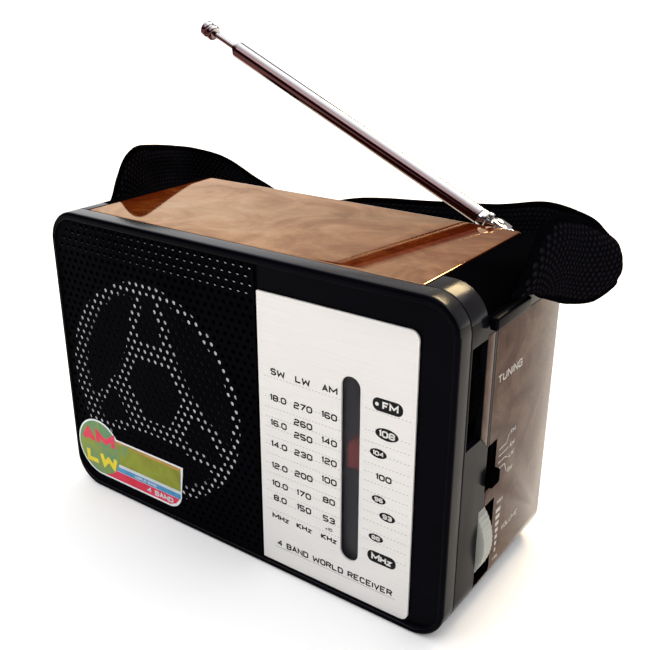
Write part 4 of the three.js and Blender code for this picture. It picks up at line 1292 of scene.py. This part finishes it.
def pin_lathe(along, radius, head, under, top):
    """A riveted pin that runs upright through the knuckle."""
    profile = [(0, -top), (head * 0.6, -top + 0.05), (head * 0.92, -top + 0.25), (head, -under - 0.2),
               (head, -under), (radius, -under), (radius, under), (head, under),
               (head, under + 0.2), (head * 0.92, top - 0.25), (head * 0.6, top - 0.05), (0, top)]
    return turned(profile, mast_point(along), UPRIGHT, ALONG, 32)


def bracket():
    low, high = case_box("antenna_bracket")
    foot_back = low[1] + 0.8
    rings = []
    for inset, y in ((0, low[1]), (0, foot_back - 0.25), (0.08, foot_back - 0.07), (0.25, foot_back)):
        outline = rounded(low[0] + inset, low[2] + inset, high[0] - inset, high[2] - inset,
                          [2.0 - inset] * 4, 8)
        rings.append(ring(outline, y))
    stud = [(0, low[1]), (2.4, low[1]), (2.4, high[1] - 0.1), (2.2, high[1]), (0, high[1])]
    made = piece("antenna_foot", loft(rings), spun(stud, SWIVEL.x, SWIVEL.z, 32))
    dress(made, CHROME, ["antenna_bracket"])


# ---- Carrying strap ----

# Upper and lower edge of the band at each station, from the left anchor round the back.
STRAP_STATIONS = [
    ((-102.6, 33, 127.3), (-102.6, 46.5, 126.6)),
    ((-102.8, 38, 131), (-102.8, 50.5, 124)),
    ((-103.4, 43, 140), (-103, 54, 121.5)),
    ((-104, 49.5, 148.7), (-103.6, 59, 119.5)),
    ((-105, 57.5, 152.3), (-104.6, 65, 118)),
    ((-107.5, 70, 151), (-107.8, 75, 119)),
    ((-110.8, 88, 147.5), (-111.5, 92, 117.5)),
    ((-110.3, 104.5, 143.5), (-112.2, 106, 114.5)),
    ((-98, 113.2, 138.6), (-99, 114.2, 109.6)),
    ((-75.5, 114.5, 129.4), (-75.5, 114.5, 100.4)),
    ((-49, 115.5, 121.6), (-49, 115.5, 93.6)),
    ((-12.2, 116.3, 129), (-12.2, 116.3, 100)),
    ((23.3, 117.2, 132.4), (23.3, 117.2, 103.4)),
    ((54.8, 118.1, 135.4), (54.8, 118.1, 106.4)),
    ((79, 116.6, 140.3), (81, 117.6, 110.3)),
    ((99.3, 108, 139.5), (103.3, 110.5, 109)),
    ((111.5, 92, 138.3), (117.6, 93.5, 118)),
    ((110.2, 79.5, 145), (114.4, 81.5, 114)),
    ((107.6, 68, 150), (107.4, 73, 114)),
    ((105.6, 57.5, 152.2), (104.6, 65, 117)),
    ((104, 49.5, 148.5), (103.6, 59, 119.5)),
    ((103.4, 43, 140), (103, 54, 121.5)),
    ((102.8, 38, 131), (102.8, 50.5, 124)),
    ((102.6, 33, 127.3), (102.6, 46.5, 126.6)),
]
STRAP = {"steps": 560, "across": 44, "edge": 1.2, "least": 0.12, "pad": 2.2, "bound": 0.13,
         "pitch": 2.5, "bow": 3.2}
STRAP_MIDDLE = Vector((0, 75, 120))


def corner_share(point):
    """How far the band bulges out: fully at the cabinet's ends, hardly behind it."""
    return min(1.0, max(0.0, (abs(point.x) - 70) / 30))


def spline(points, t):
    """Uniform Catmull-Rom through points, with t from 0 to 1 along them."""
    place = min(t * (len(points) - 1), len(points) - 1 - 1e-6)
    i = int(place)
    w = place - i
    b, c = points[i], points[i + 1]
    a = points[i - 1] if i > 0 else b * 2 - c
    d = points[i + 2] if i + 2 < len(points) else c * 2 - b
    return (b * 2 + (c - a) * w + (a * 2 - b * 5 + c * 4 - d) * w ** 2
            + (b * 3 - a - c * 3 + d) * w ** 3) * 0.5


def strap():
    """A padded band of sandwich mesh with bound edges, dimpled all over."""
    upper = [Vector(high) for high, _ in STRAP_STATIONS]
    lower = [Vector(low) for _, low in STRAP_STATIONS]
    section = strap_section(STRAP["across"])
    rings, knots = [], []
    travel, last = 0.0, None
    for i in range(STRAP["steps"] + 1):
        centre, half, out, bow = strap_place(upper, lower, i / STRAP["steps"])
        travel += (centre - last).length if last else 0.0
        last = centre
        width = half.length
        points = []
        for side, share, thick in section:
            wave, knot = strap_surface(travel, share * width, side, width)
            reach = thick * side + wave * side + bow * (1 - share * share)
            points.append(tuple(centre + half * share + out * reach))
            knots.append(knot)
        rings.append(points)
    made = link("strap_band", strap_mesh(rings, knots))
    dress(made, FABRIC, ["strap"], sharp=80)


def strap_place(upper, lower, t):
    """The band's middle, half width, outward direction and bulge at a share of its run."""
    high, low = spline(upper, t), spline(lower, t)
    before, after = max(0, t - 1e-3), min(1, t + 1e-3)
    ahead = spline(upper, after) + spline(lower, after)
    behind = spline(upper, before) + spline(lower, before)
    centre, half = (high + low) / 2, (high - low) / 2
    out = (ahead - behind).cross(half).normalized()
    outward = 1 if out.dot(centre - STRAP_MIDDLE) > 0 else -1
    bow = STRAP["bow"] * outward * math.sin(math.pi * t) ** 0.5 * corner_share(centre)
    return centre, half, out, bow


def strap_mesh(rings, knots):
    verts, faces = loft(rings)
    mesh = bpy.data.meshes.new("strap_band")
    mesh.from_pydata([at(*v) for v in verts], [], faces)
    mesh.attributes.new("knot", "FLOAT", "POINT").data.foreach_set("value", knots)
    tidy = bmesh.new()
    tidy.from_mesh(mesh)
    bmesh.ops.recalc_face_normals(tidy, faces=tidy.faces)
    tidy.to_mesh(mesh)
    tidy.free()
    return mesh


def strap_section(across):
    """(which face, share across, half thickness) once round the band's cross-section."""
    section = []
    for side in (1, -1):
        for i in range(across + 1):
            share = -1 + 2 * i / across
            rim = 1 - abs(share)
            thick = bound_edge(rim) if rim < STRAP["bound"] else padding(rim)
            section.append((side, share * side, thick))
    return section


def bound_edge(rim):
    """Half thickness of the round binding, level from its middle inwards."""
    lean = max(0.0, 1 - rim / STRAP["bound"] * 2)
    return max(STRAP["edge"] * math.sqrt(1 - lean ** 2), STRAP["least"])


def padding(rim):
    """Half thickness inside the binding, which fills out quickly to the full pad."""
    inner = (rim - STRAP["bound"]) / (1 - STRAP["bound"])
    seam = STRAP["edge"] * 0.75
    return seam + (STRAP["pad"] - seam) * math.sin(min(1, inner * 2.2) * math.pi / 2)


def strap_surface(travel, offset, side, width):
    """Wrinkles and mesh openings: height above the plain band, and how much of a knot is there."""
    fold = 1.3 * noise.noise(Vector((travel / 24, offset / 15, side * 3.0)))
    fold += 0.35 * noise.noise(Vector((travel / 9, offset / 7, side * 7.0)))
    rim = 1 - abs(offset) / width
    if rim < STRAP["bound"] + 0.02:
        return fold * 0.35, 0.0
    pitch = STRAP["pitch"]
    row = round(offset / (pitch * 0.8))
    shift = pitch / 2 if row % 2 else 0.0
    column = round((travel - shift) / pitch)
    gap = math.hypot(travel - shift - column * pitch, (offset - row * pitch * 0.8) * 1.1)
    knot = math.exp(-((gap / 0.6) ** 2))
    return fold - 0.5 * knot, knot


def strap_anchors():
    for name in ("left", "right"):
        made = piece(f"strap_bar_{name}", block(*case_box(f"strap_anchor_{name}")))
        soften(made, 0.9, 40, 4)
        dress(made, FACE_BLACK, [f"strap_anchor_{name}"])


# ---- Studio, in the frame's metres ----

CAMERA = {"lens": 48.37, "sensor": 36, "place": (0.2127, -0.27265, 0.2310),
          "aim": (-0.5402, 0.7520, -0.3780)}
# Name, place, target, size, power and colour.
LAMPS = [
    ("key", (-0.5, -1.6, 1.5), (0, 0, 0.08), (1.0, 0.7), 7, (1, 1, 1)),
    ("rear_fill", (0.3, 1.7, 1.9), (0, 0, 0.0), (1.6, 1.0), 6, (1, 1, 1)),
    ("warm_lamp", (0.03, 1.17, 1.16), (0.1, -0.02, 0.13), (0.6, 0.4), 20, (1.0, 0.76, 0.42)),
]


def aimed(name, data, place, direction):
    """A lamp or camera that looks along a direction with its top up."""
    made = link(name, data)
    made.location = place
    made.rotation_mode = "QUATERNION"
    made.rotation_quaternion = direction.to_track_quat("-Z", "Y")
    return made


def area_light(name, place, target, size, power, colour):
    data = bpy.data.lights.new(name, "AREA")
    data.shape = "RECTANGLE"
    data.size, data.size_y = size
    data.energy = power
    data.color = colour
    aimed(name, data, place, Vector(target) - Vector(place))


def studio_world():
    """White overhead, a warm backdrop behind and a darker room in front of the object."""
    world = bpy.data.worlds.new("studio")
    world.use_nodes = True
    room = Nodes(world.node_tree)
    direction = room.node("ShaderNodeSeparateXYZ")
    room.join(room.node("ShaderNodeTexCoord").outputs["Generated"], direction.inputs[0])

    def share(axis, start, end):
        return room.span(direction.outputs[axis], 0, 1, start, end, interpolation_type="SMOOTHSTEP")

    rear_wall = room.mix(share("X", -0.78, -0.32), (1.40, 1.38, 1.40), (0.46, 0.43, 0.42))
    around = room.mix(share("Y", -0.35, 0.25), (0.06, 0.045, 0.05), rear_wall)
    sky = room.mix(share("Z", 0.52, 0.82), around, (1.68, 1.68, 1.70))
    straight = room.node("ShaderNodeLightPath").outputs["Is Camera Ray"]
    seen = room.mix(straight, sky, (1.0, 1.0, 1.0))
    room.join(seen, room.tree.nodes["Background"].inputs["Color"])
    return world


def studio():
    scene = bpy.context.scene
    scene.view_settings.view_transform = "Standard"
    scene.world = studio_world()
    floor = Finish("floor_white", Specular_IOR_Level=0.1, Emission_Strength=0.12,
                   Emission_Color=(1, 1, 1, 1))
    floor.colour(floor.ramp(floor.noise(3, 4), (0.3, (0.93, 0.93, 0.93)), (0.7, (0.96, 0.96, 0.96))))
    floor.rough(floor.noise(40, 3), 0.75, 0.9)
    floor.bump(floor.noise(300, 3), 0.05)
    reach, drop = 9000, -0.1
    corners = [(x * reach, y * reach, drop) for x, y in ((-1, -1), (1, -1), (1, 1), (-1, 1))]
    ground = piece("floor", (corners, [(0, 1, 2, 3)]))
    ground.data.materials.append(floor.material)
    for lamp in LAMPS:
        area_light(*lamp)


def camera():
    data = bpy.data.cameras.new("camera")
    data.lens = CAMERA["lens"]
    data.sensor_width = CAMERA["sensor"]
    bpy.context.scene.camera = aimed("camera", data, CAMERA["place"], Vector(CAMERA["aim"]))


camera()
carry_over()
front_bezel()
main_shell()
wood_panels()
rear_cover()
speaker_sheet()
band_sticker()
dial_plate()
dial_window()
thumbwheels()
band_knob()
side_print()
socket_rings()
antenna()
strap()
strap_anchors()
studio()
